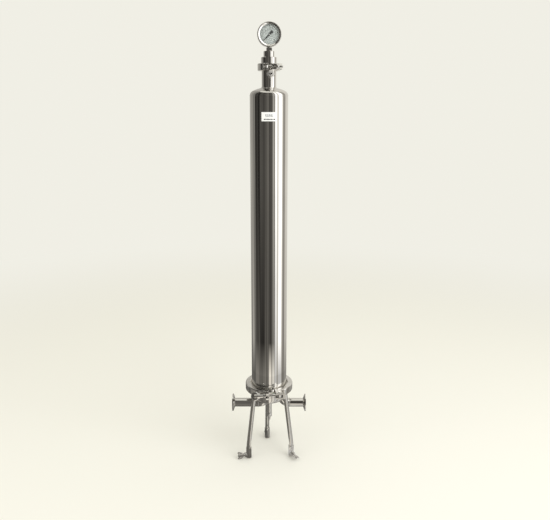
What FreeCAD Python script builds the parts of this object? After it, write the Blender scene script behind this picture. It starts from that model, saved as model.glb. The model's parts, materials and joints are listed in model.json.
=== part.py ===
"""Sanitary single-cartridge filter housing, in millimetres.

A long bell stands on a dished base with three legs, and a wide clamp holds the two together.
The base carries the inlet and outlet pipe ends and a drain valve. The bell's neck carries a
vent valve and, in a narrow clamp, a diaphragm seal with a pressure gauge.

+Z is up. The origin is on the vessel's axis, in the plane that the feet stand on. The front
is -Y, the outlet is at -X and the inlet at +X.
"""

import FreeCAD, Part
import math
import os

import Sketcher

DIMENSIONS = {
    # vessel
    "shell_od": (101.6, "outside diameter of bell and bowl"),
    "shell_wall": (2.0, "wall of bell and bowl"),
    "joint_height": (218.0, "middle of the main gasket"),
    "gasket_thickness": (1.6, "both gaskets"),
    "shell_top": (1045.0, "top of the straight shell, where the dome begins"),
    "dish_crown": (101.6, "crown radius of dome and bowl"),
    "dish_knuckle": (14.0, "knuckle radius of dome and bowl"),
    "bowl_rim": (190.0, "height where the bowl's dish begins"),
    "neck_joint": (1117.0, "middle of the neck gasket"),
    "neck_start": (14.0, "neck's lower end above shell_top, inside the dome"),
    "neck_od": (38.1, "outside diameter of the neck"),
    "neck_wall": (1.65, "wall of the neck"),
    # ferrules: rim diameter, rim thickness, length
    "main_rim_od": (119.0, "rim of the main ferrules"),
    "main_ferrule_length": (19.0, "main ferrule, face to weld"),
    "small_rim_od": (50.5, "rim of the neck and pipe ferrules"),
    "rim_thickness": (2.9, "ferrule rim at its edge"),
    "flank_rise": (0.364, "slope of a ferrule's flank, tangent of 20 degrees"),
    "ferrule_round": (1.2, "hollow round at the foot of a ferrule's flank"),
    # pipes
    "pipe_od": (25.4, "outside diameter of the pipes"),
    "pipe_wall": (1.6, "wall of the pipes"),
    "pipe_height": (160.0, "middle of the pipes"),
    "pipe_reach": (109.0, "face of a pipe ferrule from the vessel's axis"),
    "outlet_bend": (31.75, "bend radius of the outlet elbow"),
    "inlet_bend": (25.4, "bend radius of the inlet elbow"),
    "inlet_offset": (36.0, "where the inlet rises into the bowl"),
    # legs and feet
    "leg_od": (12.7, "leg rod"),
    "leg_top_radius": (52.5, "leg's middle from the axis at its top"),
    "leg_top": (198.0, "height of a leg's top"),
    "leg_foot_radius": (73.0, "leg's middle from the axis at its foot"),
    "leg_knee": (44.0, "height where a leg turns upright"),
    "leg_turn": (5.0, "angle that the tripod is turned from the pipes"),
    "socket_od": (16.0, "foot socket"),
    "socket_height": (36.0, "foot socket"),
    "socket_floor": (3.0, "foot socket's closed end"),
    "socket_clearance": (0.1, "between leg and socket"),
    "foot_screw_height": (12.0, "middle of the foot's wing screw"),
    "foot_boss_od": (13.0, "boss round the foot's wing screw"),
    "foot_boss_length": (13.0, "boss, from the leg's middle"),
    "foot_screw_od": (6.0, "foot's wing screw"),
    "foot_shank_length": (15.0, "foot's wing screw"),
    "foot_hub_start": (15.0, "foot screw's hub, from the leg's middle"),
    "foot_hub_od": (9.2, "foot screw's hub"),
    "foot_hub_length": (17.0, "foot screw's hub"),
    "foot_wing_radius": (10.6, "foot screw's wings"),
    "foot_wing_thickness": (2.6, "foot screw's wings"),
    # valves
    "valve_od": (13.0, "valve body"),
    "valve_bore": (8.0, "valve body's bore"),
    "vent_knob_od": (19.0, "vent valve's knob"),
    "drain_knob_od": (14.0, "drain valve's knob"),
    "valve_knob_length": (12.0, "valve knob"),
    "valve_nozzle_od": (5.6, "nozzle on the knob"),
    "valve_nozzle_length": (11.0, "nozzle on the knob"),
    "valve_waterway": (4.0, "bore of the nozzle"),
    "valve_stem": (6.0, "how far the knob's stem goes into the body"),
    "valve_gap": (0.4, "between knob and body when shut"),
    "plug_length": (5.0, "valve plug"),
    "vent_height": (1099.0, "middle of the vent valve"),
    "vent_reach": (28.0, "end of the vent's body from the vessel's axis"),
    "vent_turn": (8.0, "angle that the vent is turned to the right"),
    "drain_right": (1.5, "drain valve's middle, to the right"),
    "drain_front": (27.0, "drain valve's middle, to the front"),
    "drain_end": (141.0, "height of the end of the drain's body"),
    # cartridge and its seat
    "seat_bore": (56.8, "bore of the cartridge seat"),
    "seat_wall": (3.0, "wall and floor of the cartridge seat"),
    "cartridge_od": (69.4, "cartridge cage"),
    "cartridge_bottom": (226.0, "bottom of the cartridge's pleats"),
    "cartridge_length": (759.0, "length of the cartridge's pleats"),
    "plug_gap": (0.3, "between the cartridge's plug and the seat"),
    "ring_section": (3.7, "O-ring, across its section"),
    "ring_squeeze": (0.05, "between O-ring and seat, radial"),
    "ring_level": (6.0, "lower O-ring above the seat's floor"),
    "ring_pitch": (8.0, "between the two O-rings"),
    "core_bore": (28.0, "cartridge core"),
    "core_wall": (2.5, "cartridge core"),
    "cage_wall": (2.5, "cartridge cage"),
    "cage_rib": (6.0, "cage ring between two rows of windows"),
    "cage_window": (24.0, "window in the cage, across"),
    "cap_height": (7.0, "cartridge cap"),
    "fin_width": (32.0, "locating fin on the cap"),
    "fin_height": (34.0, "locating fin on the cap"),
    "fin_thickness": (3.0, "locating fin on the cap"),
    # diaphragm seal and gauge
    "seal_od": (41.0, "wide step of the seal body"),
    "seal_neck_od": (28.5, "narrow step of the seal body"),
    "seal_step": (1142.0, "height of the wide step's top"),
    "seal_top": (1157.0, "height of the narrow step's top"),
    "seal_chamber": (34.0, "chamber over the diaphragm"),
    "seal_thread_depth": (22.0, "threaded hole for the gauge"),
    "diaphragm_thickness": (0.4, "seal diaphragm"),
    "gauge_height": (1197.0, "middle of the gauge"),
    "gauge_turn": (6.0, "angle that the gauge is turned to the right"),
    "bezel_od": (63.0, "gauge bezel"),
    "case_od": (59.2, "gauge case"),
    "case_wall": (1.0, "gauge case"),
    "case_back": (13.0, "back of the case from the stem's middle"),
    "bezel_front": (17.0, "front of the bezel from the stem's middle"),
    "bezel_opening": (50.0, "opening of the bezel, in front of the dial"),
    "bezel_lip": (3.0, "lip of the bezel, in front of the glass"),
    "case_front": (10.0, "front of the case from the stem's middle"),
    "dial_level": (8.0, "back of the dial from the stem's middle"),
    "dial_thickness": (0.6, "gauge dial"),
    "glass_thickness": (2.0, "gauge glass"),
    "stem_bore": (3.0, "gauge stem"),
    "stem_thread_od": (8.6, "gauge stem's thread in the seal"),
    "stem_square": (14.0, "gauge stem, across its flats"),
    "stem_neck_od": (9.4, "gauge stem where it goes into the case"),
    "tube_ring": (21.0, "radius that the Bourdon tube is bent to"),
    "tube_od": (4.4, "Bourdon tube"),
    "tube_wall": (0.5, "Bourdon tube"),
    "pointer_level": (9.6, "back of the pointer from the stem's middle"),
    "pointer_reach": (22.5, "pointer's tip from its shaft"),
    "shaft_od": (1.8, "pointer's shaft"),
    "pivot_od": (2.0, "sector gear's pivot"),
    "gear_module": (0.5, "gauge movement"),
    "pinion_teeth": (12.0, "gauge movement"),
    "sector_teeth": (60.0, "gauge movement, counted over a full circle"),
    # label
    "label_width": (39.4, "straight across"),
    "label_height": (23.0, "from its lower edge to its upper"),
    "label_bottom": (980.6, "height of its lower edge"),
    "label_thickness": (0.2, "film and glue"),
}

# One clamp's sizes, as the sheet names them with the clamp's own prefix.
CLAMP_DIMENSIONS = {
    "main": {
        "clamp_od": 138.0,
        "half_height": 11.0,
        "lip_radius": 54.0,
        "groove_radius": 60.2,
        "edge_round": 3.0,
        "front_gap": 8.7,
        "back_gap": 6.0,
        "bolt_distance": 72.0,
        "bolt_od": 8.0,
        "pin_offset": 22.0,
        "pin_od": 6.0,
        "eye_od": 16.0,
        "pin_lug_start": 11.0,
        "pin_lug_end": 38.0,
        "seat_lug_start": 8.0,
        "seat_lug_end": 18.0,
        "lug_height": 20.0,
        "lug_outset": 8.0,
        "washer_od": 14.0,
        "washer_thickness": 1.8,
        "washer_gap": 0.7,
        "nut_length": 39.0,
        "nut_hub_od": 12.0,
        "nut_bore_depth": 32.0,
        "nut_wing_start": 16.0,
        "nut_wing_radius": 13.5,
        "nut_wing_thickness": 5.6,
        "bolt_end": 47.5,
    },
    "neck": {
        "clamp_od": 59.6,
        "half_height": 9.0,
        "lip_radius": 21.6,
        "groove_radius": 25.8,
        "edge_round": 2.0,
        "front_gap": 10.0,
        "back_gap": 9.0,
        "bolt_distance": 33.0,
        "bolt_od": 6.0,
        "pin_offset": 8.5,
        "pin_od": 4.0,
        "eye_od": 10.5,
        "pin_lug_start": 3.4,
        "pin_lug_end": 17.0,
        "seat_lug_start": 5.6,
        "seat_lug_end": 19.0,
        "lug_height": 14.0,
        "lug_outset": 5.6,
        "washer_od": 12.0,
        "washer_thickness": 1.2,
        "washer_gap": 0.7,
        "nut_length": 12.5,
        "nut_hub_od": 10.0,
        "nut_bore_depth": 13.5,
        "nut_wing_start": 1.5,
        "nut_wing_radius": 11.0,
        "nut_wing_thickness": 2.6,
        "bolt_end": 35.5,
    },
}

SLIP = 0.06  # radial clearance of a running fit
FIT_GAP = 0.1  # clearance between faces that meet
THROUGH = 60.0  # length of a tool that cuts right through
UP = FreeCAD.Vector(0, 0, 1)
RIGHT = FreeCAD.Vector(1, 0, 0)
BACK = FreeCAD.Vector(0, 1, 0)


class Size:
    """A number together with the spreadsheet formula that it comes from."""

    def __init__(self, number, formula):
        self.number = number
        self.formula = formula

    def __add__(self, other):
        other = size(other)
        return Size(self.number + other.number, f"({self.formula} + {other.formula})")

    def __sub__(self, other):
        other = size(other)
        return Size(self.number - other.number, f"({self.formula} - {other.formula})")

    def __mul__(self, other):
        other = size(other)
        return Size(self.number * other.number, f"({self.formula} * {other.formula})")

    def __truediv__(self, other):
        other = size(other)
        return Size(self.number / other.number, f"({self.formula} / {other.formula})")

    def __radd__(self, other):
        return size(other) + self

    def __rsub__(self, other):
        return size(other) - self

    def __rmul__(self, other):
        return size(other) * self

    def __neg__(self):
        return Size(-self.number, f"(0 - {self.formula})")

    def root(self):
        return Size(math.sqrt(self.number), f"sqrt({self.formula})")


def size(value):
    """value as a Size, whether it is one already or a plain number."""
    return value if isinstance(value, Size) else Size(float(value), f"({float(value)})")


def make_sheet(doc):
    """The spreadsheet of driving dimensions, and a Size for each of its cells."""
    rows = dict(DIMENSIONS)
    for clamp, values in CLAMP_DIMENSIONS.items():
        for word, number in values.items():
            rows[f"{clamp}_{word}"] = (number, f"{clamp} clamp")
    sheet = doc.addObject("Spreadsheet::Sheet", "dims")
    sizes = {}
    for row, (alias, (number, meaning)) in enumerate(rows.items(), start=1):
        sheet.set(f"A{row}", alias)
        sheet.set(f"B{row}", str(number))
        sheet.set(f"C{row}", meaning)
        sheet.setAlias(f"B{row}", alias)
        sizes[alias] = Size(number, f"dims.{alias}")
    return sizes


doc = FreeCAD.newDocument("cartridge_filter_housing")
D = make_sheet(doc)
doc.recompute()
nodes = []


# ---------------------------------------------------------------- building blocks


def place(thing, at=(0, 0, 0), turn=None):
    """Put thing at a point whose coordinates may be Sizes, turned by a rotation."""
    point = [size(value) for value in at]
    base = FreeCAD.Vector(*[value.number for value in point])
    thing.Placement = FreeCAD.Placement(base, turn or FreeCAD.Rotation())
    for letter, value, given in zip("xyz", point, at):
        if isinstance(given, Size):
            thing.setExpression(f"Placement.Base.{letter}", value.formula)
    return thing


def cylinder(name, radius, height, at=(0, 0, 0), turn=None):
    thing = doc.addObject("Part::Cylinder", name)
    thing.setExpression("Radius", size(radius).formula)
    thing.setExpression("Height", size(height).formula)
    return place(thing, at, turn)


def box(name, extent, at=(0, 0, 0), turn=None):
    """A box whose lowest corner is at a point."""
    thing = doc.addObject("Part::Box", name)
    for side, value in zip(("Length", "Width", "Height"), extent):
        thing.setExpression(side, size(value).formula)
    return place(thing, at, turn)


def torus(name, ring_radius, tube_radius, angle=360, at=(0, 0, 0), turn=None):
    thing = doc.addObject("Part::Torus", name)
    thing.setExpression("Radius1", size(ring_radius).formula)
    thing.setExpression("Radius2", size(tube_radius).formula)
    thing.Angle3 = angle
    return place(thing, at, turn)


def fuse(name, pieces, at=(0, 0, 0), turn=None):
    thing = doc.addObject("Part::MultiFuse", name)
    thing.Shapes = pieces
    thing.Refine = True
    return place(thing, at, turn)


def cut(name, base, tools, at=(0, 0, 0), turn=None):
    tool = tools[0] if len(tools) == 1 else fuse(f"{name}_tools", tools)
    thing = doc.addObject("Part::Cut", name)
    thing.Base = base
    thing.Tool = tool
    thing.Refine = True
    return place(thing, at, turn)


def carry(name, thing, at=(0, 0, 0), turn=None):
    """Hold a finished shape, so that it can be put in a turned frame."""
    holder = doc.addObject("Part::Compound", name)
    holder.Links = [thing]
    return place(holder, at, turn)


def common(name, first, second):
    thing = doc.addObject("Part::Common", name)
    thing.Base = first
    thing.Tool = second
    return thing


def arc_to(start, end, radius):
    """The arc between two points. It bulges left of the way from start to end if radius > 0."""
    chord = end - start
    across = FreeCAD.Vector(-chord.y, chord.x, 0)
    across.normalize()
    depth = math.sqrt(max(radius * radius - chord.Length ** 2 / 4, 0))
    side = 1 if radius > 0 else -1
    middle = (start + end) * 0.5 - across * (side * depth)
    angles = [math.atan2(point.y - middle.y, point.x - middle.x) for point in (start, end)]
    if side > 0:
        angles.reverse()
    circle = Part.Circle(middle, UP, abs(radius))
    return Part.ArcOfCircle(circle, angles[0], angles[1]), side > 0


def draw_outline(sketch, outline):
    """A closed outline of (x, y) points. A third value makes the way to that point an arc."""
    corners = [(size(corner[0]), size(corner[1])) for corner in outline]
    points = [FreeCAD.Vector(x.number, y.number, 0) for x, y in corners]
    count = len(points)
    ends = []
    for index in range(count):
        following = (index + 1) % count
        start, end = points[index], points[following]
        if len(outline[following]) == 3:
            radius = size(outline[following][2])
            curve, backwards = arc_to(start, end, radius.number)
            sketch.addGeometry(curve, False)
            name = f"arc{index}"
            constraint = Sketcher.Constraint("Radius", index, abs(radius.number))
            sketch.renameConstraint(sketch.addConstraint(constraint), name)
            if isinstance(outline[following][2], Size):
                sketch.setExpression(f"Constraints.{name}", f"abs({radius.formula})")
            ends.append((2, 1) if backwards else (1, 2))
        else:
            sketch.addGeometry(Part.LineSegment(start, end), False)
            ends.append((1, 2))
    for index in range(count):
        following = (index + 1) % count
        meeting = (index, ends[index][1], following, ends[following][0])
        sketch.addConstraint(Sketcher.Constraint("Coincident", *meeting))
    for index, corner in enumerate(corners):
        vertex = (index, ends[index][0])
        for kind, letter, value, own_axis in (
            ("DistanceX", "x", corner[0], -2),
            ("DistanceY", "y", corner[1], -1),
        ):
            if value.number == 0:
                sketch.addConstraint(Sketcher.Constraint("PointOnObject", *vertex, own_axis))
                continue
            constraint = Sketcher.Constraint(kind, -1, 1, *vertex, value.number)
            name = f"{letter}{index}"
            sketch.renameConstraint(sketch.addConstraint(constraint), name)
            sketch.setExpression(f"Constraints.{name}", value.formula)


def body_with_sketch(name, plane_role, outline):
    body = doc.addObject("PartDesign::Body", name)
    sketch = body.newObject("Sketcher::SketchObject", f"{name}_outline")
    plane = [part for part in body.Origin.OriginFeatures if part.Role == plane_role][0]
    sketch.AttachmentSupport = [(plane, "")]
    sketch.MapMode = "FlatFace"
    draw_outline(sketch, outline)
    return body, sketch


def turned(name, outline, at=(0, 0, 0), turn=None, angle=360):
    """A solid of revolution about Z. The outline's points are (radius, height)."""
    body, sketch = body_with_sketch(name, "XZ_Plane", outline)
    feature = body.newObject("PartDesign::Revolution", f"{name}_turning")
    feature.Profile = sketch
    feature.ReferenceAxis = (sketch, ["V_Axis"])
    feature.Midplane = True
    if isinstance(angle, Size):
        feature.setExpression("Angle", angle.formula)
    else:
        feature.Angle = angle
    return place(body, at, turn)


def plate(name, outline, thickness, at=(0, 0, 0), turn=None):
    """A flat plate: an outline in the XY plane, given a thickness along Z."""
    body, sketch = body_with_sketch(name, "XY_Plane", outline)
    feature = body.newObject("PartDesign::Pad", f"{name}_pad")
    feature.Profile = sketch
    feature.setExpression("Length", size(thickness).formula)
    return place(body, at, turn)


def about(axis, degrees):
    return FreeCAD.Rotation(axis, degrees)


def node(thing, label):
    """Name a finished sub-part."""
    thing.Label = label
    nodes.append(thing)
    return thing


# ---------------------------------------------------------------- vessel


def dish_outline(radius, crown, knuckle, wall, straight):
    """A dished end, open at its bottom at height -straight, with its rim line at height 0."""

    def shell(outer, crown_radius, knuckle_radius):
        knuckle_middle = outer - knuckle_radius
        drop = ((crown_radius - knuckle_radius) * (crown_radius - knuckle_radius)
                - knuckle_middle * knuckle_middle).root()
        reach = crown_radius / (crown_radius - knuckle_radius)
        meeting = (knuckle_middle * reach, drop * reach - drop)
        return meeting, crown_radius - drop

    (meet_x, meet_z), apex = shell(radius, crown, knuckle)
    (in_x, in_z), in_apex = shell(radius - wall, crown - wall, knuckle - wall)
    return [
        (radius, -straight),
        (radius, 0),
        (meet_x, meet_z, -knuckle),
        (0, apex, -crown),
        (0, in_apex),
        (in_x, in_z, crown - wall),
        (radius - wall, 0, knuckle - wall),
        (radius - wall, -straight),
    ]


def solid_dish_outline(radius, crown, knuckle, straight):
    """The same dished end without its hollow, to trim what is welded against it."""
    outline = dish_outline(radius, crown, knuckle, size(1), straight)
    return outline[:4] + [(0, -straight)]


def ferrule_outline(rim_od, tube_od, wall, length):
    """A clamp ferrule with its face at height 0 and its weld end at height length."""
    rim = rim_od / 2
    tube = tube_od / 2
    hollow = D["ferrule_round"]
    foot = tube + hollow
    rise = D["rim_thickness"] + (rim - foot) * D["flank_rise"]
    return [
        (tube - wall, 0),
        (rim, 0),
        (rim, D["rim_thickness"]),
        (foot, rise),
        (tube, rise + hollow, hollow),
        (tube, length),
        (tube - wall, length),
    ]


SHELL_RADIUS = D["shell_od"] / 2
NECK_RADIUS = D["neck_od"] / 2
PIPE_RADIUS = D["pipe_od"] / 2
HALF_GASKET = D["gasket_thickness"] / 2
FLIP = about(RIGHT, 180)
LABEL_FACES = -89.0  # degrees from +X, so that the label faces the front
DISH = (SHELL_RADIUS, D["dish_crown"], D["dish_knuckle"])


def make_bell():
    lower_face = D["joint_height"] + HALF_GASKET
    tube_bottom = lower_face + D["main_ferrule_length"]
    outline = ferrule_outline(
        D["main_rim_od"], D["shell_od"], D["shell_wall"], D["main_ferrule_length"]
    )
    node(turned("bell_ferrule", outline, at=(0, 0, lower_face)), "bell_ferrule")

    height = D["shell_top"] - tube_bottom
    outside = cylinder("bell_outside", SHELL_RADIUS, height)
    inside = cylinder("bell_inside", SHELL_RADIUS - D["shell_wall"], height)
    node(cut("bell_tube", outside, [inside], at=(0, 0, tube_bottom)), "bell_tube")

    dome = turned("dome_shell", dish_outline(*DISH, D["shell_wall"], size(1)))
    neck_hole = cylinder("dome_hole", NECK_RADIUS, THROUGH)
    skirt = cylinder("dome_skirt", SHELL_RADIUS + 1, 1, at=(0, 0, -1))
    dome_cut = cut("bell_dome", dome, [neck_hole, skirt], at=(0, 0, D["shell_top"]))
    node(dome_cut, "bell_dome")

    neck_face = D["neck_joint"] - HALF_GASKET
    neck_length = neck_face - D["shell_top"] - D["neck_start"]
    outline = ferrule_outline(
        D["small_rim_od"], D["neck_od"], D["neck_wall"], neck_length
    )
    neck = turned("neck_turning", outline, turn=FLIP, at=(0, 0, neck_face))
    frame = vent_frame()
    vent_hole = cylinder("vent_hole", D["valve_bore"] / 2, THROUGH, at=frame[0], turn=frame[1])
    node(cut("neck", neck, [vent_hole]), "neck")


def make_label():
    """A name label, bent round the front of the shell."""
    half_angle = math.degrees(math.asin(D["label_width"].number / D["shell_od"].number))
    outer = SHELL_RADIUS + D["label_thickness"]
    outline = [
        (SHELL_RADIUS, 0),
        (outer, 0),
        (outer, D["label_height"]),
        (SHELL_RADIUS, D["label_height"]),
    ]
    label = turned(
        "label_turning",
        outline,
        at=(0, 0, D["label_bottom"]),
        turn=about(UP, LABEL_FACES),
        angle=2 * half_angle,
    )
    node(label, "name_label")


def elbow(name, bend, tube_radius, right):
    """A quarter bend: from level, at the pipes' height, to upright. It opens to -X or +X."""
    middle = D["pipe_height"] + bend
    offset = D["inlet_offset"] + bend if right else -bend
    turn = about(RIGHT, 90)
    turn = turn * about(UP, 180 if right else 270)
    return torus(name, bend, tube_radius, angle=90, at=(offset, 0, middle), turn=turn)


def make_base():
    upper_face = D["joint_height"] - HALF_GASKET
    outline = ferrule_outline(
        D["main_rim_od"], D["shell_od"], D["shell_wall"], D["main_ferrule_length"]
    )
    ferrule = turned("base_ferrule", outline, at=(0, 0, upper_face), turn=FLIP)
    node(ferrule, "base_ferrule")

    straight = upper_face - D["main_ferrule_length"] - D["bowl_rim"]
    rim = (0, 0, D["bowl_rim"])
    shell = turned("bowl_shell", dish_outline(*DISH, D["shell_wall"], straight), rim, FLIP)
    outlet_hole = elbow("outlet_hole", D["outlet_bend"], PIPE_RADIUS, right=False)
    inlet_hole = elbow("inlet_hole", D["inlet_bend"], PIPE_RADIUS - D["pipe_wall"], right=True)
    drain_at = drain_frame()[0]
    drain_hole = cylinder("drain_hole", D["valve_bore"] / 2, THROUGH, at=drain_at)
    node(cut("base_bowl", shell, [outlet_hole, inlet_hole, drain_hole]), "base_bowl")

    outer = elbow("outlet_outer", D["outlet_bend"], PIPE_RADIUS, right=False)
    inner = elbow("outlet_inner", D["outlet_bend"], PIPE_RADIUS - D["pipe_wall"], right=False)
    node(cut("outlet_elbow", outer, [inner]), "outlet_elbow")

    outer = elbow("inlet_outer", D["inlet_bend"], PIPE_RADIUS, right=True)
    inner = elbow("inlet_inner", D["inlet_bend"], PIPE_RADIUS - D["pipe_wall"], right=True)
    bowl_space = turned("inlet_trim", solid_dish_outline(*DISH, straight), rim, FLIP)
    node(cut("inlet_elbow", outer, [inner, bowl_space]), "inlet_elbow")

    for name, side, level_start in (
        ("outlet_pipe", -1, D["outlet_bend"]),
        ("inlet_pipe", 1, D["inlet_offset"] + D["inlet_bend"]),
    ):
        length = D["pipe_reach"] - level_start
        outline = ferrule_outline(D["small_rim_od"], D["pipe_od"], D["pipe_wall"], length)
        pipe = turned(
            name,
            outline,
            at=(side * D["pipe_reach"], 0, D["pipe_height"]),
            turn=about(BACK, -90 * side),
        )
        node(pipe, name)
    return straight


def make_gasket(name, rim_od, bore_od, wall, height):
    """A flat ring whose edge bulges out a little between the two rims."""
    inner = bore_od / 2 - wall
    outer = rim_od / 2 - 0.2
    bulge = D["gasket_thickness"] / 1.6
    outline = [
        (inner, -HALF_GASKET),
        (outer, -HALF_GASKET),
        (outer, HALF_GASKET, -bulge),
        (inner, HALF_GASKET),
    ]
    node(turned(name, outline, at=(0, 0, height)), name)


# ---------------------------------------------------------------- legs and feet

# each leg's angle, its wing screw's angle from +X, and how far the screw's wings are turned
LEGS = {"left": (210, 197, 12), "right": (330, 298, 62), "back": (90, 95, 35)}


def foot_point(leg_angle):
    angle = math.radians(leg_angle + D["leg_turn"].number)
    reach = D["leg_foot_radius"]
    return reach * math.cos(angle), reach * math.sin(angle)


def make_legs(straight):
    """Three bent rods. Each is drawn towards +X and turned to its place."""
    radius = D["leg_od"] / 2
    lean = math.atan2(
        (D["leg_foot_radius"] - D["leg_top_radius"]).number,
        (D["leg_top"] - D["leg_knee"]).number,
    )
    knee = (D["leg_foot_radius"], 0, D["leg_knee"])
    end = D["socket_floor"] + FIT_GAP
    for side, (angle, screw_angle, wing_angle) in LEGS.items():
        name = f"leg_{side}"
        shank = cylinder(
            f"{name}_shank", radius, D["leg_knee"] - end, at=(D["leg_foot_radius"], 0, end)
        )
        bend = doc.addObject("Part::Sphere", f"{name}_bend")
        bend.setExpression("Radius", radius.formula)
        place(bend, knee)
        rise = (D["leg_top"] - D["leg_knee"]) / math.cos(lean)
        rod = cylinder(f"{name}_rod", radius, rise, at=knee, turn=about(BACK, -math.degrees(lean)))
        rim = (0, 0, D["bowl_rim"])
        outline = solid_dish_outline(*DISH, straight + D["leg_od"])
        bowl_space = turned(f"{name}_trim", outline, rim, FLIP)
        whole = fuse(f"{name}_whole", [shank, bend, rod])
        leg = cut(name, whole, [bowl_space], turn=about(UP, angle + D["leg_turn"].number))
        node(leg, name)
        make_foot(side, foot_point(angle), screw_angle, wing_angle)


def make_foot(side, spot, screw_angle, wing_angle):
    """A socket that slides on the leg's end, and the wing screw that holds it there."""
    turn = about(UP, screw_angle)
    name = f"foot_socket_{side}"
    outside = cylinder(f"{name}_outside", D["socket_od"] / 2, D["socket_height"])
    boss = cylinder(
        f"{name}_boss",
        D["foot_boss_od"] / 2,
        D["foot_boss_length"],
        at=(0, 0, D["foot_screw_height"]),
        turn=about(BACK, 90),
    )
    solid = fuse(f"{name}_solid", [outside, boss])
    bore = cylinder(
        f"{name}_bore",
        D["leg_od"] / 2 + D["socket_clearance"],
        D["socket_height"],
        at=(0, 0, D["socket_floor"]),
    )
    screw_radius = D["foot_screw_od"] / 2
    screw_hole = cylinder(
        f"{name}_screw_hole",
        screw_radius + SLIP,
        THROUGH,
        at=(0, 0, D["foot_screw_height"]),
        turn=about(BACK, 90),
    )
    node(cut(name, solid, [bore, screw_hole], at=(*spot, 0), turn=turn), name)

    name = f"foot_screw_{side}"
    shank_start = D["leg_od"] / 2 + D["socket_clearance"] + FIT_GAP
    shank = cylinder(f"{name}_shank", screw_radius, D["foot_shank_length"], at=(0, 0, shank_start))
    hub_radius = D["foot_hub_od"] / 2
    hub_length = D["foot_hub_length"]
    hub = turned(
        f"{name}_hub",
        [
            (0, 0),
            (hub_radius - 1, 0),
            (hub_radius, 1),
            (hub_radius, hub_length - 2),
            (hub_radius - 1, hub_length, 2.4),
            (0, hub_length),
        ],
        at=(0, 0, D["foot_hub_start"]),
    )
    wings = wing_plate(
        f"{name}_wings",
        D["foot_wing_radius"],
        D["foot_wing_thickness"],
        hub_length - 1,
        at=D["foot_hub_start"] + 3,
    )
    along = about(BACK, 90) * about(UP, wing_angle)
    screw = fuse(
        name,
        [shank, hub, wings],
        at=(*spot, D["foot_screw_height"]),
        turn=turn * along,
    )
    node(screw, name)


def wing_plate(name, radius, thickness, length, at):
    """Two wings in one rounded plate. It holds the Z axis and reaches radius to either side."""
    radius, thickness, length = size(radius), size(thickness), size(length)
    slab = box(
        f"{name}_slab",
        (radius * 2, thickness, length),
        at=(-radius, -thickness / 2, at),
    )
    disc = cylinder(
        f"{name}_disc",
        radius,
        thickness,
        at=(0, thickness / 2, length * 0.55 + at),
        turn=about(RIGHT, 90),
    )
    return common(name, slab, disc)


# ---------------------------------------------------------------- clamps


def clamp_outline(C):
    """Half a clamp's section, its groove open towards the axis."""
    outer = C["clamp_od"] / 2
    half, groove, lip, edge = C["half_height"], C["groove_radius"], C["lip_radius"], C["edge_round"]
    groove_half = HALF_GASKET + D["rim_thickness"] + FIT_GAP
    lip_half = groove_half + (groove - lip) * D["flank_rise"]
    bevel = 1.5
    return [
        (lip, lip_half),
        (lip, half - bevel),
        (lip + bevel, half),
        (outer - edge, half),
        (outer, half - edge, edge),
        (outer, edge - half),
        (outer - edge, -half, edge),
        (lip + bevel, -half),
        (lip, bevel - half),
        (lip, -lip_half),
        (groove, -groove_half),
        (groove, groove_half),
    ]


def lug_block(name, C, start, end, side):
    """A block beside the opening, standing out of the ring. side is +1 for right."""
    low_x = start if side > 0 else -end
    outer = C["bolt_distance"] + C["lug_outset"]
    block = box(
        f"{name}_block",
        (end - start, outer, C["lug_height"]),
        at=(low_x, -outer, -C["lug_height"] / 2),
    )
    overlap = 1.5  # how far the block goes into the ring
    inside = cylinder(
        f"{name}_inside", C["groove_radius"] + overlap, THROUGH, at=(0, 0, -THROUGH / 2)
    )
    return cut(name, block, [inside])


def hinge_sizes(C):
    """The hinge barrel's radius, and how far behind the axis its pin is."""
    barrel_radius = C["pin_od"] * 0.95
    return barrel_radius, C["clamp_od"] / 2 + barrel_radius * 0.6


def knuckle(name, C, low, high, side):
    """One part of the hinge at the back, joined to its own half of the ring."""
    ring = C["clamp_od"] / 2
    barrel_radius, hinge_y = hinge_sizes(C)
    barrel = cylinder(f"{name}_barrel", barrel_radius, high - low, at=(0, hinge_y, low))
    reach = ring * math.sin(math.radians(C["back_gap"].number + 5))
    arm = box(
        f"{name}_arm",
        (reach, barrel_radius * 1.2, high - low),
        at=(0 if side > 0 else -reach, ring - barrel_radius * 0.4, low),
    )
    return [barrel, arm]


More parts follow.
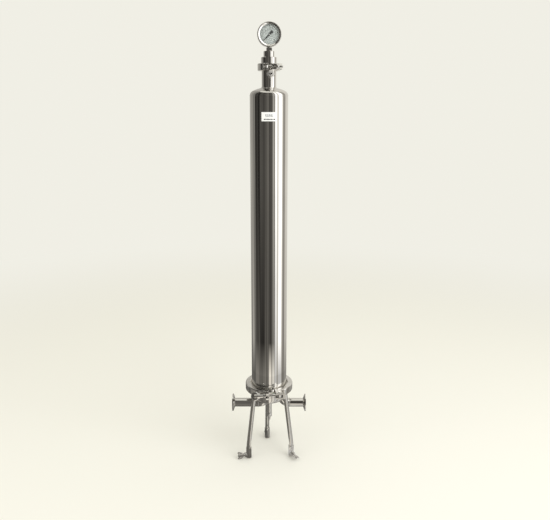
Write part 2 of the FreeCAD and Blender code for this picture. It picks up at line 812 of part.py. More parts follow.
def make_clamp(prefix, height, turn_angle, nut_side, wing_angle):
    """A clamp of two halves with a hinge at the back and a swing bolt at the front (-Y)."""
    skip = len(prefix) + 1
    C = {word[skip:]: value for word, value in D.items() if word.startswith(f"{prefix}_")}
    turn = about(UP, turn_angle)
    at = (0, 0, height)
    pin_side = -nut_side
    front, back = C["front_gap"].number, C["back_gap"].number
    bolt_y = -C["bolt_distance"]
    bolt_radius = C["bolt_od"] / 2
    pin_x = C["pin_offset"] * pin_side
    slot_half = bolt_radius + 0.35
    slot_overrun = 0.8  # how far a slot's tool stands past what it cuts
    slot_room = 0.6  # behind the bolt or its eye
    hinge_y = hinge_sizes(C)[1]
    hinge_half = C["half_height"] * 0.6
    tongue_half = hinge_half / 3
    along = about(BACK, 90 * nut_side)
    relief_radius = C["washer_od"] / 2 + 1  # room in the ring for the washer and the nut

    for word, side in (("left", -1), ("right", 1)):
        name = f"{prefix}_clamp_{word}"
        middle = (front - back) / 2 if side > 0 else 180 - (front - back) / 2
        ring = turned(
            f"{name}_ring",
            clamp_outline(C),
            turn=about(UP, middle),
            angle=180 - C["front_gap"] - C["back_gap"],
        )
        if side == nut_side:
            lug = lug_block(f"{name}_lug", C, C["seat_lug_start"], C["seat_lug_end"], side)
            slot_depth = C["lug_outset"] + bolt_radius + slot_room + slot_overrun
            slot_length = C["seat_lug_end"] - C["seat_lug_start"] + 12
            slot_start = C["seat_lug_start"] - 6
            bands = [(-tongue_half, tongue_half)]
        else:
            lug = lug_block(f"{name}_lug", C, C["pin_lug_start"], C["pin_lug_end"], side)
            slot_depth = C["lug_outset"] + C["eye_od"] / 2 + slot_room + slot_overrun
            slot_length = C["pin_offset"] + C["eye_od"] / 2 + slot_overrun
            slot_start = size(0)
            fork_start = tongue_half + 2 * FIT_GAP
            bands = [(-hinge_half, -fork_start), (fork_start, hinge_half)]
        slot = box(
            f"{name}_slot",
            (slot_length, slot_depth, slot_half * 2),
            at=(
                slot_start if side > 0 else -slot_start - slot_length,
                bolt_y - C["lug_outset"] - slot_overrun,
                -slot_half,
            ),
        )
        pieces = [ring, lug]
        for index, (low, high) in enumerate(bands):
            pieces += knuckle(f"{name}_knuckle{index}", C, low, high, side)
        hinge_hole = cylinder(
            f"{name}_hinge_hole", C["pin_od"] / 2, THROUGH, at=(0, hinge_y, -THROUGH / 2)
        )
        tools = [slot, hinge_hole]
        if side == pin_side:
            pin_hole = cylinder(
                f"{name}_pin_hole", C["pin_od"] / 2, THROUGH, at=(pin_x, bolt_y, -THROUGH / 2)
            )
            tools.append(pin_hole)
        else:
            relief_at = (C["seat_lug_end"] * side, bolt_y, 0)
            tools.append(cylinder(f"{name}_relief", relief_radius, THROUGH, relief_at, along))
        solid = fuse(f"{name}_solid", pieces)
        node(cut(name, solid, tools, at=at, turn=turn), name)

    pins = []
    head_radius, head_height = C["pin_od"] * 0.72, 1.2
    for word, x, y, half in (
        ("hinge", size(0), hinge_y, hinge_half),
        ("bolt", pin_x, bolt_y, C["lug_height"] / 2),
    ):
        pin_name = f"{prefix}_{word}_pin"
        pins.append(cylinder(f"{pin_name}_shank", C["pin_od"] / 2, half * 2, at=(x, y, -half)))
        for end, start in (("top", half), ("bottom", -half - head_height)):
            pins.append(cylinder(f"{pin_name}_{end}", head_radius, head_height, at=(x, y, start)))
    node(fuse(f"{prefix}_clamp_pins", pins, at=at, turn=turn), f"{prefix}_clamp_pins")

    eye_half = bolt_radius + 0.1
    eye = cylinder(
        f"{prefix}_eye", C["eye_od"] / 2, eye_half * 2, at=(pin_x, bolt_y, -eye_half)
    )
    shank_length = C["bolt_end"] + C["pin_offset"]
    shank = cylinder(f"{prefix}_shank", bolt_radius, shank_length, at=(pin_x, bolt_y, 0), turn=along)
    eye_bore = cylinder(
        f"{prefix}_eye_bore", C["pin_od"] / 2 + SLIP, THROUGH, at=(pin_x, bolt_y, -THROUGH / 2)
    )
    solid = fuse(f"{prefix}_bolt_solid", [eye, shank])
    node(cut(f"{prefix}_eyebolt", solid, [eye_bore], at=at, turn=turn), f"{prefix}_eyebolt")

    washer_start = C["seat_lug_end"] + C["washer_gap"]
    washer_radius, washer_end, bevel = C["washer_od"] / 2, C["washer_thickness"], 0.5
    washer = turned(
        f"{prefix}_washer_turning",
        [
            (bolt_radius + SLIP, 0),
            (washer_radius, 0),
            (washer_radius, washer_end - bevel),
            (washer_radius - bevel, washer_end),
            (bolt_radius + SLIP, washer_end),
        ],
        at=(washer_start * nut_side, bolt_y, 0),
        turn=along,
    )
    node(carry(f"{prefix}_washer", washer, at=at, turn=turn), f"{prefix}_nut_washer")

    nut_start = washer_start + C["washer_thickness"] + FIT_GAP
    hub_radius = C["nut_hub_od"] / 2
    flange_radius, flange_height = hub_radius + 0.8, size(1.5)
    taper, nut_round = 1.0, 1.2
    hub = turned(
        f"{prefix}_nut_hub",
        [
            (0, 0),
            (flange_radius, 0),
            (flange_radius, flange_height),
            (hub_radius, flange_height * 2),
            (hub_radius - taper, C["nut_length"] - nut_round),
            (hub_radius - taper - nut_round, C["nut_length"], nut_round),
            (0, C["nut_length"]),
        ],
    )
    wings = wing_plate(
        f"{prefix}_nut_wings",
        C["nut_wing_radius"],
        C["nut_wing_thickness"],
        C["nut_length"] - C["nut_wing_start"],
        at=C["nut_wing_start"],
    )
    bore = cylinder(
        f"{prefix}_nut_bore", bolt_radius + SLIP, C["nut_bore_depth"] + 1, at=(0, 0, -1)
    )
    solid = fuse(f"{prefix}_nut_solid", [hub, wings])
    nut = cut(
        f"{prefix}_nut_cut",
        solid,
        [bore],
        at=(nut_start * nut_side, bolt_y, 0),
        turn=about(RIGHT, wing_angle) * along,
    )
    node(carry(f"{prefix}_wing_nut", nut, at=at, turn=turn), f"{prefix}_wing_nut")


# ---------------------------------------------------------------- valves


def vent_frame():
    """The vent valve's own frame: its origin on the vessel's axis, its +Z out of the neck."""
    return (0, 0, D["vent_height"]), about(UP, D["vent_turn"].number) * about(RIGHT, 90)


def drain_frame():
    """The drain valve's own frame: its origin at the end of its body, its +Z downwards."""
    return (D["drain_right"], -D["drain_front"], D["drain_end"]), FLIP


def make_valve(prefix, frame, start, end, trim):
    """A needle valve. Its body runs from start to end, and its knob carries the nozzle."""
    at, turn = frame
    bore = D["valve_bore"] / 2
    outer = D["valve_od"] / 2
    bevel = 1.0
    body = turned(
        f"{prefix}_body_turning",
        [
            (bore, start),
            (outer, start),
            (outer, end - bevel),
            (outer - bevel, end),
            (bore, end),
        ],
        at=at,
        turn=turn,
    )
    node(cut(f"{prefix}_body", body, [trim]), f"{prefix}_body")

    knob_start = end + D["valve_gap"]
    knob_end = knob_start + D["valve_knob_length"]
    knob_radius = D[f"{prefix}_knob_od"] / 2
    back_round, front_round = 1.2, 2.5
    nozzle = D["valve_nozzle_od"] / 2
    waterway = D["valve_waterway"] / 2
    tip = knob_end + D["valve_nozzle_length"]
    tip_bevel = 0.4
    stem_end = end - D["valve_stem"]
    knob = turned(
        f"{prefix}_knob",
        [
            (waterway, stem_end),
            (bore - SLIP, stem_end),
            (bore - SLIP, knob_start),
            (knob_radius - back_round, knob_start),
            (knob_radius, knob_start + back_round, back_round),
            (knob_radius, knob_end - front_round),
            (knob_radius - front_round, knob_end, front_round),
            (nozzle, knob_end),
            (nozzle, tip - 2 * tip_bevel),
            (nozzle - tip_bevel, tip),
            (waterway, tip),
        ],
        at=at,
        turn=turn,
    )
    node(knob, f"{prefix}_knob")

    plug_end = stem_end - FIT_GAP
    plug_start = plug_end - D["plug_length"]
    plug_nose, plug_taper = 1.5, 2.0
    plug = turned(
        f"{prefix}_plug",
        [
            (0, plug_start),
            (plug_nose, plug_start),
            (bore - SLIP, plug_start + plug_taper),
            (bore - SLIP, plug_end),
            (0, plug_end),
        ],
        at=at,
        turn=turn,
    )
    node(plug, f"{prefix}_plug")


def make_valves(straight):
    neck_space = cylinder("vent_trim", NECK_RADIUS, THROUGH, at=(0, 0, D["vent_height"] - THROUGH / 2))
    vent_start = NECK_RADIUS - D["valve_od"] / 2
    make_valve("vent", vent_frame(), vent_start, D["vent_reach"], neck_space)
    rim = (0, 0, D["bowl_rim"])
    bowl_space = turned("drain_trim", solid_dish_outline(*DISH, straight), rim, FLIP)
    drop = D["bowl_rim"] - D["drain_end"]
    make_valve("drain", drain_frame(), -drop, size(0), bowl_space)


# ---------------------------------------------------------------- cartridge


def make_cartridge():
    seat_radius = D["seat_bore"] / 2
    seat_bottom = D["pipe_height"] + D["outlet_bend"]
    seat_floor = seat_bottom + D["seat_wall"]
    seat_top = D["joint_height"] - 1
    pipe_bore = PIPE_RADIUS - D["pipe_wall"]
    core_bore = D["core_bore"] / 2
    core_outer = core_bore + D["core_wall"]
    seat = turned(
        "cartridge_seat",
        [
            (pipe_bore, seat_bottom),
            (seat_radius + D["seat_wall"], seat_bottom),
            (seat_radius + D["seat_wall"], seat_top),
            (seat_radius, seat_top),
            (seat_radius, seat_floor),
            (pipe_bore, seat_floor),
        ],
    )
    node(seat, "cartridge_seat")

    bottom = D["cartridge_bottom"]
    top = bottom + D["cartridge_length"]
    plug_radius = seat_radius - D["plug_gap"]
    cage_radius = D["cartridge_od"] / 2
    shoulder = seat_top + 0.5
    adapter = turned(
        "adapter_turning",
        [
            (core_bore, seat_floor + 1),
            (plug_radius, seat_floor + 1),
            (plug_radius, shoulder),
            (cage_radius, shoulder),
            (cage_radius, bottom),
            (core_bore, bottom),
        ],
    )
    ring_half = D["ring_section"] / 2
    ring_radius = seat_radius - ring_half - D["ring_squeeze"]
    groove_room = 0.02
    rings, grooves = [], []
    for index in range(2):
        at = (0, 0, seat_floor + D["ring_level"] + D["ring_pitch"] * index)
        rings.append(torus(f"o_ring{index}", ring_radius, ring_half, at=at))
        groove = torus(f"o_ring_groove{index}", ring_radius, ring_half + groove_room, at=at)
        grooves.append(groove)
    node(cut("cartridge_adapter", adapter, grooves), "cartridge_adapter")
    node(fuse("cartridge_o_rings", rings), "cartridge_o_rings")

    def sleeve(name, inner, outer):
        outline = [(inner, bottom), (outer, bottom), (outer, top), (inner, top)]
        return turned(name, outline)

    node(sleeve("cartridge_core", core_bore, core_outer), "cartridge_core")
    cage_bore = cage_radius - D["cage_wall"]
    pleats = sleeve("cartridge_pleats", core_outer + FIT_GAP, cage_bore - FIT_GAP)
    node(pleats, "cartridge_pleats")

    cage = sleeve("cage_sleeve", cage_bore, cage_radius)
    rows, ways = 24, 3  # rows of windows, and the directions that each row is cut in
    pitch = D["cartridge_length"] / rows
    window_length = cage_radius * 2 + 10
    windows = []
    for row in range(rows):
        for way in range(ways):
            turn = about(UP, 180 / ways * way)
            extent = (window_length, D["cage_window"], pitch - D["cage_rib"])
            window = box(f"cage_window{row}_{way}", extent)
            half = (window_length / -2, D["cage_window"] / -2)
            corner = turn.multVec(FreeCAD.Vector(half[0].number, half[1].number, 0))
            level = bottom + pitch * row + D["cage_rib"] / 2
            windows.append(place(window, (corner.x, corner.y, level), turn))
    node(cut("cartridge_cage", cage, windows), "cartridge_cage")

    cap_top = top + D["cap_height"]
    bevel = 2.0
    outline = [
        (0, top),
        (cage_radius, top),
        (cage_radius, cap_top - bevel),
        (cage_radius - bevel, cap_top),
        (0, cap_top),
    ]
    cap = turned("cap_turning", outline)
    half_fin = D["fin_width"] / 2
    fin_height = D["fin_height"]
    shoulder_drop, tip_half = 14.0, 5.0
    outline = [
        (-half_fin, 0),
        (half_fin, 0),
        (half_fin, fin_height - shoulder_drop),
        (tip_half, fin_height),
        (-tip_half, fin_height),
        (-half_fin, fin_height - shoulder_drop),
    ]
    fin_at = (0, D["fin_thickness"] / 2, cap_top - 0.5)
    fin = plate("cap_fin", outline, D["fin_thickness"], at=fin_at, turn=about(RIGHT, 90))
    node(fuse("cartridge_cap", [cap, fin]), "cartridge_cap")


# ---------------------------------------------------------------- seal and gauge


def make_seal():
    face = D["neck_joint"] + HALF_GASKET
    rim = D["small_rim_od"] / 2
    wide = D["seal_od"] / 2
    narrow = D["seal_neck_od"] / 2
    hollow = D["ferrule_round"] / 2
    foot = wide + hollow
    rise = D["rim_thickness"] + (rim - foot) * D["flank_rise"]
    bevel = 1.0
    chamber = D["seal_chamber"] / 2
    thread = D["stem_thread_od"] / 2 + FIT_GAP
    body = turned(
        "seal_body",
        [
            (chamber, face),
            (rim, face),
            (rim, face + D["rim_thickness"]),
            (foot, face + rise),
            (wide, face + rise + hollow, hollow),
            (wide, D["seal_step"] - bevel),
            (wide - bevel, D["seal_step"]),
            (narrow, D["seal_step"]),
            (narrow, D["seal_top"] - bevel),
            (narrow - bevel, D["seal_top"]),
            (thread, D["seal_top"]),
            (thread, D["seal_top"] - D["seal_thread_depth"]),
            (chamber, face + 3),
        ],
    )
    node(body, "seal_body")
    foil = D["diaphragm_thickness"]
    diaphragm = cylinder("seal_diaphragm", chamber - FIT_GAP, foil, at=(0, 0, face + foil))
    node(diaphragm, "seal_diaphragm")


def gauge_turn():
    """The gauge's own frame: +X to its right, +Y up, +Z out of its face."""
    return about(UP, D["gauge_turn"].number) * about(RIGHT, 90)


def in_gauge():
    return {"at": (0, 0, D["gauge_height"]), "turn": gauge_turn()}


def make_gauge_case():
    radius = D["case_od"] / 2
    wall = D["case_wall"]
    inside = radius - wall
    back = -D["case_back"]
    corner = size(2.5)
    case = turned(
        "case_turning",
        [
            (0, back),
            (radius - corner, back),
            (radius, back + corner, -corner),
            (radius, D["case_front"]),
            (inside, D["case_front"]),
            (inside, back + corner),
            (radius - corner, back + wall, corner - wall),
            (0, back + wall),
        ],
    )
    stem_hole = cylinder(
        "case_stem_hole", D["stem_neck_od"] / 2 + FIT_GAP, THROUGH, turn=about(RIGHT, 90)
    )
    node(cut("case_cut", case, [stem_hole], **in_gauge()), "gauge_case")

    bezel_radius = D["bezel_od"] / 2
    bezel_bore = radius + FIT_GAP / 2
    front = D["bezel_front"]
    bezel_back = D["case_front"] / 2
    lip_back = front - D["bezel_lip"]
    opening = D["bezel_opening"] / 2
    edge, flare = size(2.0), 0.8
    bezel = turned(
        "gauge_bezel",
        [
            (bezel_bore, bezel_back),
            (bezel_radius, bezel_back),
            (bezel_radius, front - edge),
            (bezel_radius - edge, front, edge),
            (opening + flare, front),
            (opening, lip_back),
            (bezel_bore, lip_back),
        ],
        **in_gauge(),
    )
    node(bezel, "gauge_bezel")

    glass_front = lip_back - FIT_GAP
    glass_back = glass_front - D["glass_thickness"]
    outline = [(0, glass_back), (radius, glass_back), (radius, glass_front), (0, glass_front)]
    node(turned("gauge_glass", outline, **in_gauge()), "gauge_glass")

    dial_back = D["dial_level"]
    dial_front = dial_back + D["dial_thickness"]
    hole, rim = D["shaft_od"] / 2 + 0.7, inside - 2 * FIT_GAP
    outline = [(hole, dial_back), (rim, dial_back), (rim, dial_front), (hole, dial_front)]
    node(turned("gauge_dial", outline, **in_gauge()), "gauge_dial")


def make_gauge_stem():
    """The stem screws into the seal and holds the case, the tube and the movement."""
    turn = about(UP, D["gauge_turn"].number)
    square_top = D["gauge_height"] - D["bezel_od"] / 2 - 0.3
    thread_length, collar_height, neck_length = 16, size(1), 6
    square_bottom = D["seal_top"] + collar_height
    flat = D["stem_square"]
    thread = cylinder(
        "stem_thread",
        D["stem_thread_od"] / 2,
        thread_length + collar_height,
        at=(0, 0, D["seal_top"] - thread_length),
    )
    collar = cylinder("stem_collar", flat / 2 - 0.5, collar_height, at=(0, 0, D["seal_top"]))
    square = box(
        "stem_square",
        (flat, flat, square_top - square_bottom),
        at=(-flat / 2, -flat / 2, square_bottom),
    )
    neck = cylinder(
        "stem_neck", D["stem_neck_od"] / 2, neck_length + 1, at=(0, 0, square_top - 1)
    )
    # behind the movement's plate, a block that the Bourdon tube is soldered into
    block_width, block_depth, block_height, block_front = 9, 6, 13, 2.6
    block = box(
        "stem_block",
        (block_width, block_depth, block_height),
        at=(-block_width / 2, block_front, square_top + neck_length * 0.6),
    )
    bore = cylinder(
        "stem_bore", D["stem_bore"] / 2, THROUGH / 2, at=(0, 0, D["seal_top"] - thread_length - 1)
    )
    solid = fuse("stem_solid", [thread, collar, square, neck, block])
    node(cut("stem_cut", solid, [bore], turn=turn), "gauge_stem")

    tube_radius = D["tube_od"] / 2
    bent, tube_start, tube_level = 240, -74, -8  # degrees of bend, its start, and its place
    tube = torus("bourdon_outer", D["tube_ring"], tube_radius, angle=bent)
    hollow = torus("bourdon_inner", D["tube_ring"], tube_radius - D["tube_wall"], angle=bent)
    tube_turn = gauge_turn() * about(UP, tube_start)
    level = gauge_turn().multVec(FreeCAD.Vector(0, 0, tube_level))
    tube_cut = cut(
        "bourdon_cut",
        tube,
        [hollow],
        at=(level.x, level.y, D["gauge_height"]),
        turn=tube_turn,
    )
    node(tube_cut, "bourdon_tube")


def gear_outline(module, teeth, tooth_angles):
    """Points of straight-sided teeth whose middles are at tooth_angles, in radians."""
    pitch_radius = module * teeth / 2
    tip = pitch_radius + 0.8 * module
    root = pitch_radius - 1.2 * module
    step = 2 * math.pi / teeth
    root_half, tip_half = 0.27, 0.09  # half a tooth's width, as a share of the step
    corners = [(root, -root_half), (tip, -tip_half), (tip, tip_half), (root, root_half)]
    points = []
    for angle in tooth_angles:
        for radius, share in corners:
            place_angle = angle + share * step
            points.append((radius * math.cos(place_angle), radius * math.sin(place_angle)))
    return points


def flat_gear(points, thickness):
    """A solid gear from its outline."""
    corners = [FreeCAD.Vector(x, y, 0) for x, y in points]
    wire = Part.makePolygon(corners + corners[:1])
    return Part.Face(wire).extrude(UP * thickness)


def make_movement():
    """Pinion, pointer and sector gear on their plate. All turn about the gauge's +Z."""
    module = D["gear_module"].number
    shaft_radius, pivot_radius = D["shaft_od"].number / 2, D["pivot_od"].number / 2
    pinion_teeth = int(D["pinion_teeth"].number)
    sector_teeth = int(D["sector_teeth"].number)
    centres = module * (pinion_teeth + sector_teeth) / 2
    pivot_angle = math.radians(-45)
    pivot = FreeCAD.Vector(centres * math.cos(pivot_angle), centres * math.sin(pivot_angle), 0)
    frame = FreeCAD.Placement(FreeCAD.Vector(0, 0, D["gauge_height"].number), gauge_turn())

    pinion_step = 2 * math.pi / pinion_teeth
    angles = [pivot_angle + pinion_step * index for index in range(pinion_teeth)]
    pinion_level, pinion_width = 1.0, 2.0
    pinion = flat_gear(gear_outline(module, pinion_teeth, angles), pinion_width)
    pinion.translate(UP * pinion_level)
    shaft_start = -3.5
    shaft_length = D["pointer_level"].number + 0.5 - shaft_start
    shaft = Part.makeCylinder(shaft_radius, shaft_length, UP * shaft_start)
    thing = doc.addObject("Part::Feature", "pinion")
    thing.Shape = pinion.fuse(shaft).removeSplitter()
    thing.Placement = frame
    node(thing, "pinion")

    # the sector's teeth run back from the line of centres, so that it can turn the pinion 270
    towards_pinion = pivot_angle + math.pi
    sector_step = 2 * math.pi / sector_teeth
    angles = [towards_pinion + sector_step * (index + 0.5) for index in range(-10, 2)]
    teeth = gear_outline(module, sector_teeth, angles)
    sector_width = 0.7 * pinion_width
    sector = flat_gear([(0, 0)] + teeth, sector_width)
    hub = Part.makeCylinder(pivot_radius + 1.4, sector_width)
    tail_length, tail_width = 8, 3
    tail = Part.makeBox(
        tail_length, tail_width, sector_width, FreeCAD.Vector(0, -tail_width / 2, 0)
    )
    tail.rotate(FreeCAD.Vector(), UP, math.degrees(angles[len(angles) // 2 - 1]) + 180)
    bore = Part.makeCylinder(pivot_radius + SLIP, THROUGH, UP * (-THROUGH / 2))
    sector_level = pinion_level + (pinion_width - sector_width) / 2
    thing = doc.addObject("Part::Feature", "sector_gear")
    thing.Shape = sector.fuse([hub, tail]).cut(bore).removeSplitter()
    thing.Placement = frame * FreeCAD.Placement(pivot + UP * sector_level, FreeCAD.Rotation())
    node(thing, "sector_gear")

    plate_width, plate_length, plate_thickness = 23, 30, 1
    plate_back = -2.5
    corner = FreeCAD.Vector(-5.5, -21, plate_back)
    base = Part.makeBox(plate_width, plate_length, plate_thickness, corner)
    pin_start = plate_back + plate_thickness / 2
    pin_length = sector_level + sector_width + 1.3 - pin_start
    pin = Part.makeCylinder(pivot_radius, pin_length, pivot + UP * pin_start)
    shaft_hole = Part.makeCylinder(shaft_radius + SLIP, THROUGH, UP * (-THROUGH / 2))
    thing = doc.addObject("Part::Feature", "gauge_movement")
    thing.Shape = base.fuse(pin).cut(shaft_hole).removeSplitter()
    thing.Placement = frame
    node(thing, "gauge_movement")


def make_pointer():
    """The pointer, resting at zero: down to the left."""
    reach, sheet = D["pointer_reach"], size(0.6)
    root_half, tip_half = 0.9, 0.2
    outline = [(0, -root_half), (reach, -tip_half), (reach, tip_half), (0, root_half)]
    blade = plate("pointer_blade", outline, sheet)
    weight_start, weight_length, weight_width = -11.5, 8.5, 5.0
    weight = box(
        "pointer_weight",
        (weight_length, weight_width, sheet),
        at=(weight_start, -weight_width / 2, 0),
    )
    arm_length, arm_width = 6, 1.6
    arm = box("pointer_arm", (arm_length, arm_width, sheet), at=(-5, -arm_width / 2, 0))
    hub = cylinder("pointer_hub", 2.3, 1.6)
    shaft_hole = cylinder("pointer_bore", D["shaft_od"] / 2, 1.1, at=(0, 0, -0.5))
    solid = fuse("pointer_solid", [blade, weight, arm, hub])
    level = gauge_turn().multVec(FreeCAD.Vector(0, 0, D["pointer_level"].number))
    pointer = cut(
        "pointer_cut",
        solid,
        [shaft_hole],
        at=(level.x, level.y, D["gauge_height"]),
        turn=gauge_turn() * about(UP, 225),
    )
    node(pointer, "gauge_pointer")


# ---------------------------------------------------------------- the whole housing


def build():
    make_bell()
    make_label()
    straight = make_base()
    make_gasket(
        "main_gasket", D["main_rim_od"], D["shell_od"], D["shell_wall"], D["joint_height"]
    )
    make_gasket(
        "neck_gasket", D["small_rim_od"], D["neck_od"], D["neck_wall"], D["neck_joint"]
    )
    make_legs(straight)
    make_clamp("main", D["joint_height"], turn_angle=6.6, nut_side=-1, wing_angle=-26)
    make_clamp("neck", D["neck_joint"], turn_angle=3.0, nut_side=1, wing_angle=-50)
    make_valves(straight)
    make_cartridge()
    make_seal()
    make_gauge_case()
    make_gauge_stem()
    make_movement()
    make_pointer()


def check_and_export():
    """Stop if anything failed, then write one STEP file for each sub-part."""
    doc.recompute()
    for thing in doc.Objects:
        if "Invalid" in thing.State or "Error" in thing.State:
            raise SystemExit(f"{thing.Name} failed: {thing.State}")
    labels = [thing.Label for thing in nodes]
    if len(set(labels)) != len(labels):
        raise SystemExit("two sub-parts share a name")
    os.makedirs("parts", exist_ok=True)
    for thing in nodes:
        shape = thing.Shape
        if shape.isNull() or not shape.isValid():
            raise SystemExit(f"{thing.Label} has no valid shape")
        shape.exportStep(f"parts/{thing.Label}.step")
        print(f"{thing.Label:24s} {len(shape.Solids)} solid(s) {shape.Volume / 1000:10.2f} cm3")
    print(len(nodes), "sub-parts")


build()
check_and_export()
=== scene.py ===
"""Looks of the sanitary single-cartridge filter housing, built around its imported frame.

Everything is in metres, in the frame's own axes: +Z up, the front is -Y, the outlet at -X.
"""

import json
import math
import random

import bmesh
import bpy
from mathutils import Matrix, Vector
from mathutils.bvhtree import BVHTree

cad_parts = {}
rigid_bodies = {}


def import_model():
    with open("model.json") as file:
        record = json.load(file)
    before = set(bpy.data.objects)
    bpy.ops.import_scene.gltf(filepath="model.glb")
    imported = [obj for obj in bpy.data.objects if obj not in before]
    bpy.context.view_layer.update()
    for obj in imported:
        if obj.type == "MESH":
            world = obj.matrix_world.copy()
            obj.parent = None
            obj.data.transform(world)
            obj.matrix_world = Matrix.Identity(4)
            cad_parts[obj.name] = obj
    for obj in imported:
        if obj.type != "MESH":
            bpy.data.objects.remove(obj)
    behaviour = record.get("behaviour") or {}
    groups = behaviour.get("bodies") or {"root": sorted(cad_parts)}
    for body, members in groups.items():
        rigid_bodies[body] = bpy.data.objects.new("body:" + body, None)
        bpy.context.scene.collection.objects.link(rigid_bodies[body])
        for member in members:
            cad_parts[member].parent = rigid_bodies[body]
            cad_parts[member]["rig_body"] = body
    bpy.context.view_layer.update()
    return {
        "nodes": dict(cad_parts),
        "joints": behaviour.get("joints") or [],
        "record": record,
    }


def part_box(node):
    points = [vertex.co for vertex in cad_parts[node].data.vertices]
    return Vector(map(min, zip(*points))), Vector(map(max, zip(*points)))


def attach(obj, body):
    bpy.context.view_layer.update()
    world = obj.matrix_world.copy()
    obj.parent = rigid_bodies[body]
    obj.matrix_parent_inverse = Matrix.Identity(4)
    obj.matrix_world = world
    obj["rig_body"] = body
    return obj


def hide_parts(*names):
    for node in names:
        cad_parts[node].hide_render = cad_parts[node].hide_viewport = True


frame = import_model()

MM = 0.001
UP = Vector((0, 0, 1))


def polar(radius, angle, height=0.0):
    return Vector((radius * math.cos(angle), radius * math.sin(angle), height))


def linked(name, data):
    """A new object with this data, in the scene."""
    thing = bpy.data.objects.new(name, data)
    bpy.context.scene.collection.objects.link(thing)
    return thing


# ---------------------------------------- camera, light and floor

CAMERA_AT = (0.0168, -1.658, 1.012)
CAMERA_TILT = 14.0  # degrees below level
CAMERA_ROLL = 0.13
CAMERA_LENS = 39.7
CAMERA_SENSOR = 36.0
CAMERA_CLIP = 0.02
BACKGROUND = (0.875, 0.862, 0.785)
FLOOR_COLOUR = (0.86, 0.85, 0.80)
FLOOR_REACH, FLOOR_SIDES = 14.0, 96
FLOOR_NEAR, FLOOR_FAR = 1.1, 3.0  # the floor fades into the background between these
LIGHTS_AIM = Vector((0, 0, 0.6))

TENT_RADIUS = 0.62
TENT_TOP = 2.1
TENT_LEVELS = (0.75, 0.14, 0.003)  # heights at which a panel's three lights are given
TENT_HUB = 0.02  # the tent's floor runs in from its wall to this radius
TENT_FLOOR_SHARE = 0.9  # light of the tent's floor, as a share of its wall's foot
TENT_STRIP = 6.5  # a panel is sewn from strips about this many degrees wide
TENT_SLIP = 0.3  # how far a strip's start may slip, as a share of its width
TENT_DARK = 0.5  # a panel with less light than this is dark
TENT_UNEVEN = 0.45  # how far a dark strip's shade may be from its panel's
TENT_EVEN = 0.09  # and a bright strip's
TENT_SEED = 5

# The studio that the polished steel mirrors: a tent of tall panels round the housing. Each
# starts at an angle in degrees from the front, counted towards the right, and has its light
# at each of TENT_LEVELS, of which the first holds to the top, and its colour.
CREAM, BROWN = (1.0, 0.965, 0.885), (1.0, 0.945, 0.85)
DAYLIGHT = (1.0, 0.99, 0.97)
TENT_PANELS = (
    (-180, (0.45, 0.35, 0.15), CREAM),  # pale wall behind on the left, and its shaded end
    (-112, (0.25, 0.30, 0.18), CREAM),
    (-90, (0.04, 0.10, 0.22), BROWN),  # dark cloths on the left and in front
    (-55, (0.07, 0.04, 0.15), BROWN),
    (-25, (0.12, 0.09, 0.25), BROWN),
    (0, (0.10, 0.07, 0.80), BROWN),
    (22, (0.40, 0.18, 0.90), CREAM),  # near soft box on the right, with a paler cloth before it
    (37, (1.55, 0.85, 0.70), DAYLIGHT),
    (49, (0.85, 0.65, 0.45), CREAM),
    (60, (1.70, 1.50, 0.70), DAYLIGHT),  # far soft box on the right
    (84, (0.85, 0.60, 0.45), CREAM),
    (92, (0.32, 0.28, 0.22), BROWN),  # its stand's shade, then the pale wall behind
    (112, (0.80, 0.55, 0.35), CREAM),
)


def make_camera():
    camera = linked("camera", bpy.data.cameras.new("camera"))
    tilt = Matrix.Rotation(math.radians(90 - CAMERA_TILT), 4, "X")
    roll = Matrix.Rotation(math.radians(CAMERA_ROLL), 4, "Z")
    camera.matrix_world = Matrix.Translation(CAMERA_AT) @ tilt @ roll
    camera.data.lens = CAMERA_LENS
    camera.data.sensor_width = CAMERA_SENSOR
    camera.data.clip_start = CAMERA_CLIP
    bpy.context.scene.camera = camera


def make_world():
    world = bpy.data.worlds.new("studio")
    bpy.context.scene.world = world
    world.use_nodes = True
    background = world.node_tree.nodes["Background"]
    background.inputs["Color"].default_value = (*BACKGROUND, 1)


def empty_material(name):
    """A material without a shader, and its node tree."""
    material = bpy.data.materials.new(name)
    material.use_nodes = True
    material.node_tree.nodes.clear()
    return material, material.node_tree


def floor_material():
    """Pale matt floor near the housing, which fades into the background further out."""
    material, tree = empty_material("floor")
    place = tree.nodes.new("ShaderNodeTexCoord")
    length = tree.nodes.new("ShaderNodeVectorMath")
    length.operation = "LENGTH"
    fade = tree.nodes.new("ShaderNodeMapRange")
    fade.interpolation_type = "SMOOTHSTEP"
    fade.inputs["From Min"].default_value = FLOOR_NEAR
    fade.inputs["From Max"].default_value = FLOOR_FAR
    matt = tree.nodes.new("ShaderNodeBsdfDiffuse")
    matt.inputs["Color"].default_value = (*FLOOR_COLOUR, 1)
    far = tree.nodes.new("ShaderNodeEmission")
    far.inputs["Color"].default_value = (*BACKGROUND, 1)
    mix = tree.nodes.new("ShaderNodeMixShader")
    output = tree.nodes.new("ShaderNodeOutputMaterial")
    tree.links.new(place.outputs["Object"], length.inputs[0])
    tree.links.new(length.outputs["Value"], fade.inputs["Value"])
    tree.links.new(fade.outputs["Result"], mix.inputs["Fac"])
    tree.links.new(matt.outputs[0], mix.inputs[1])
    tree.links.new(far.outputs[0], mix.inputs[2])
    tree.links.new(mix.outputs[0], output.inputs["Surface"])
    return material


def mesh_object(name, vertices, faces, material):
    mesh = bpy.data.meshes.new(name)
    mesh.from_pydata(vertices, [], faces)
    mesh.validate()
    mesh.materials.append(material)
    return linked(name, mesh)


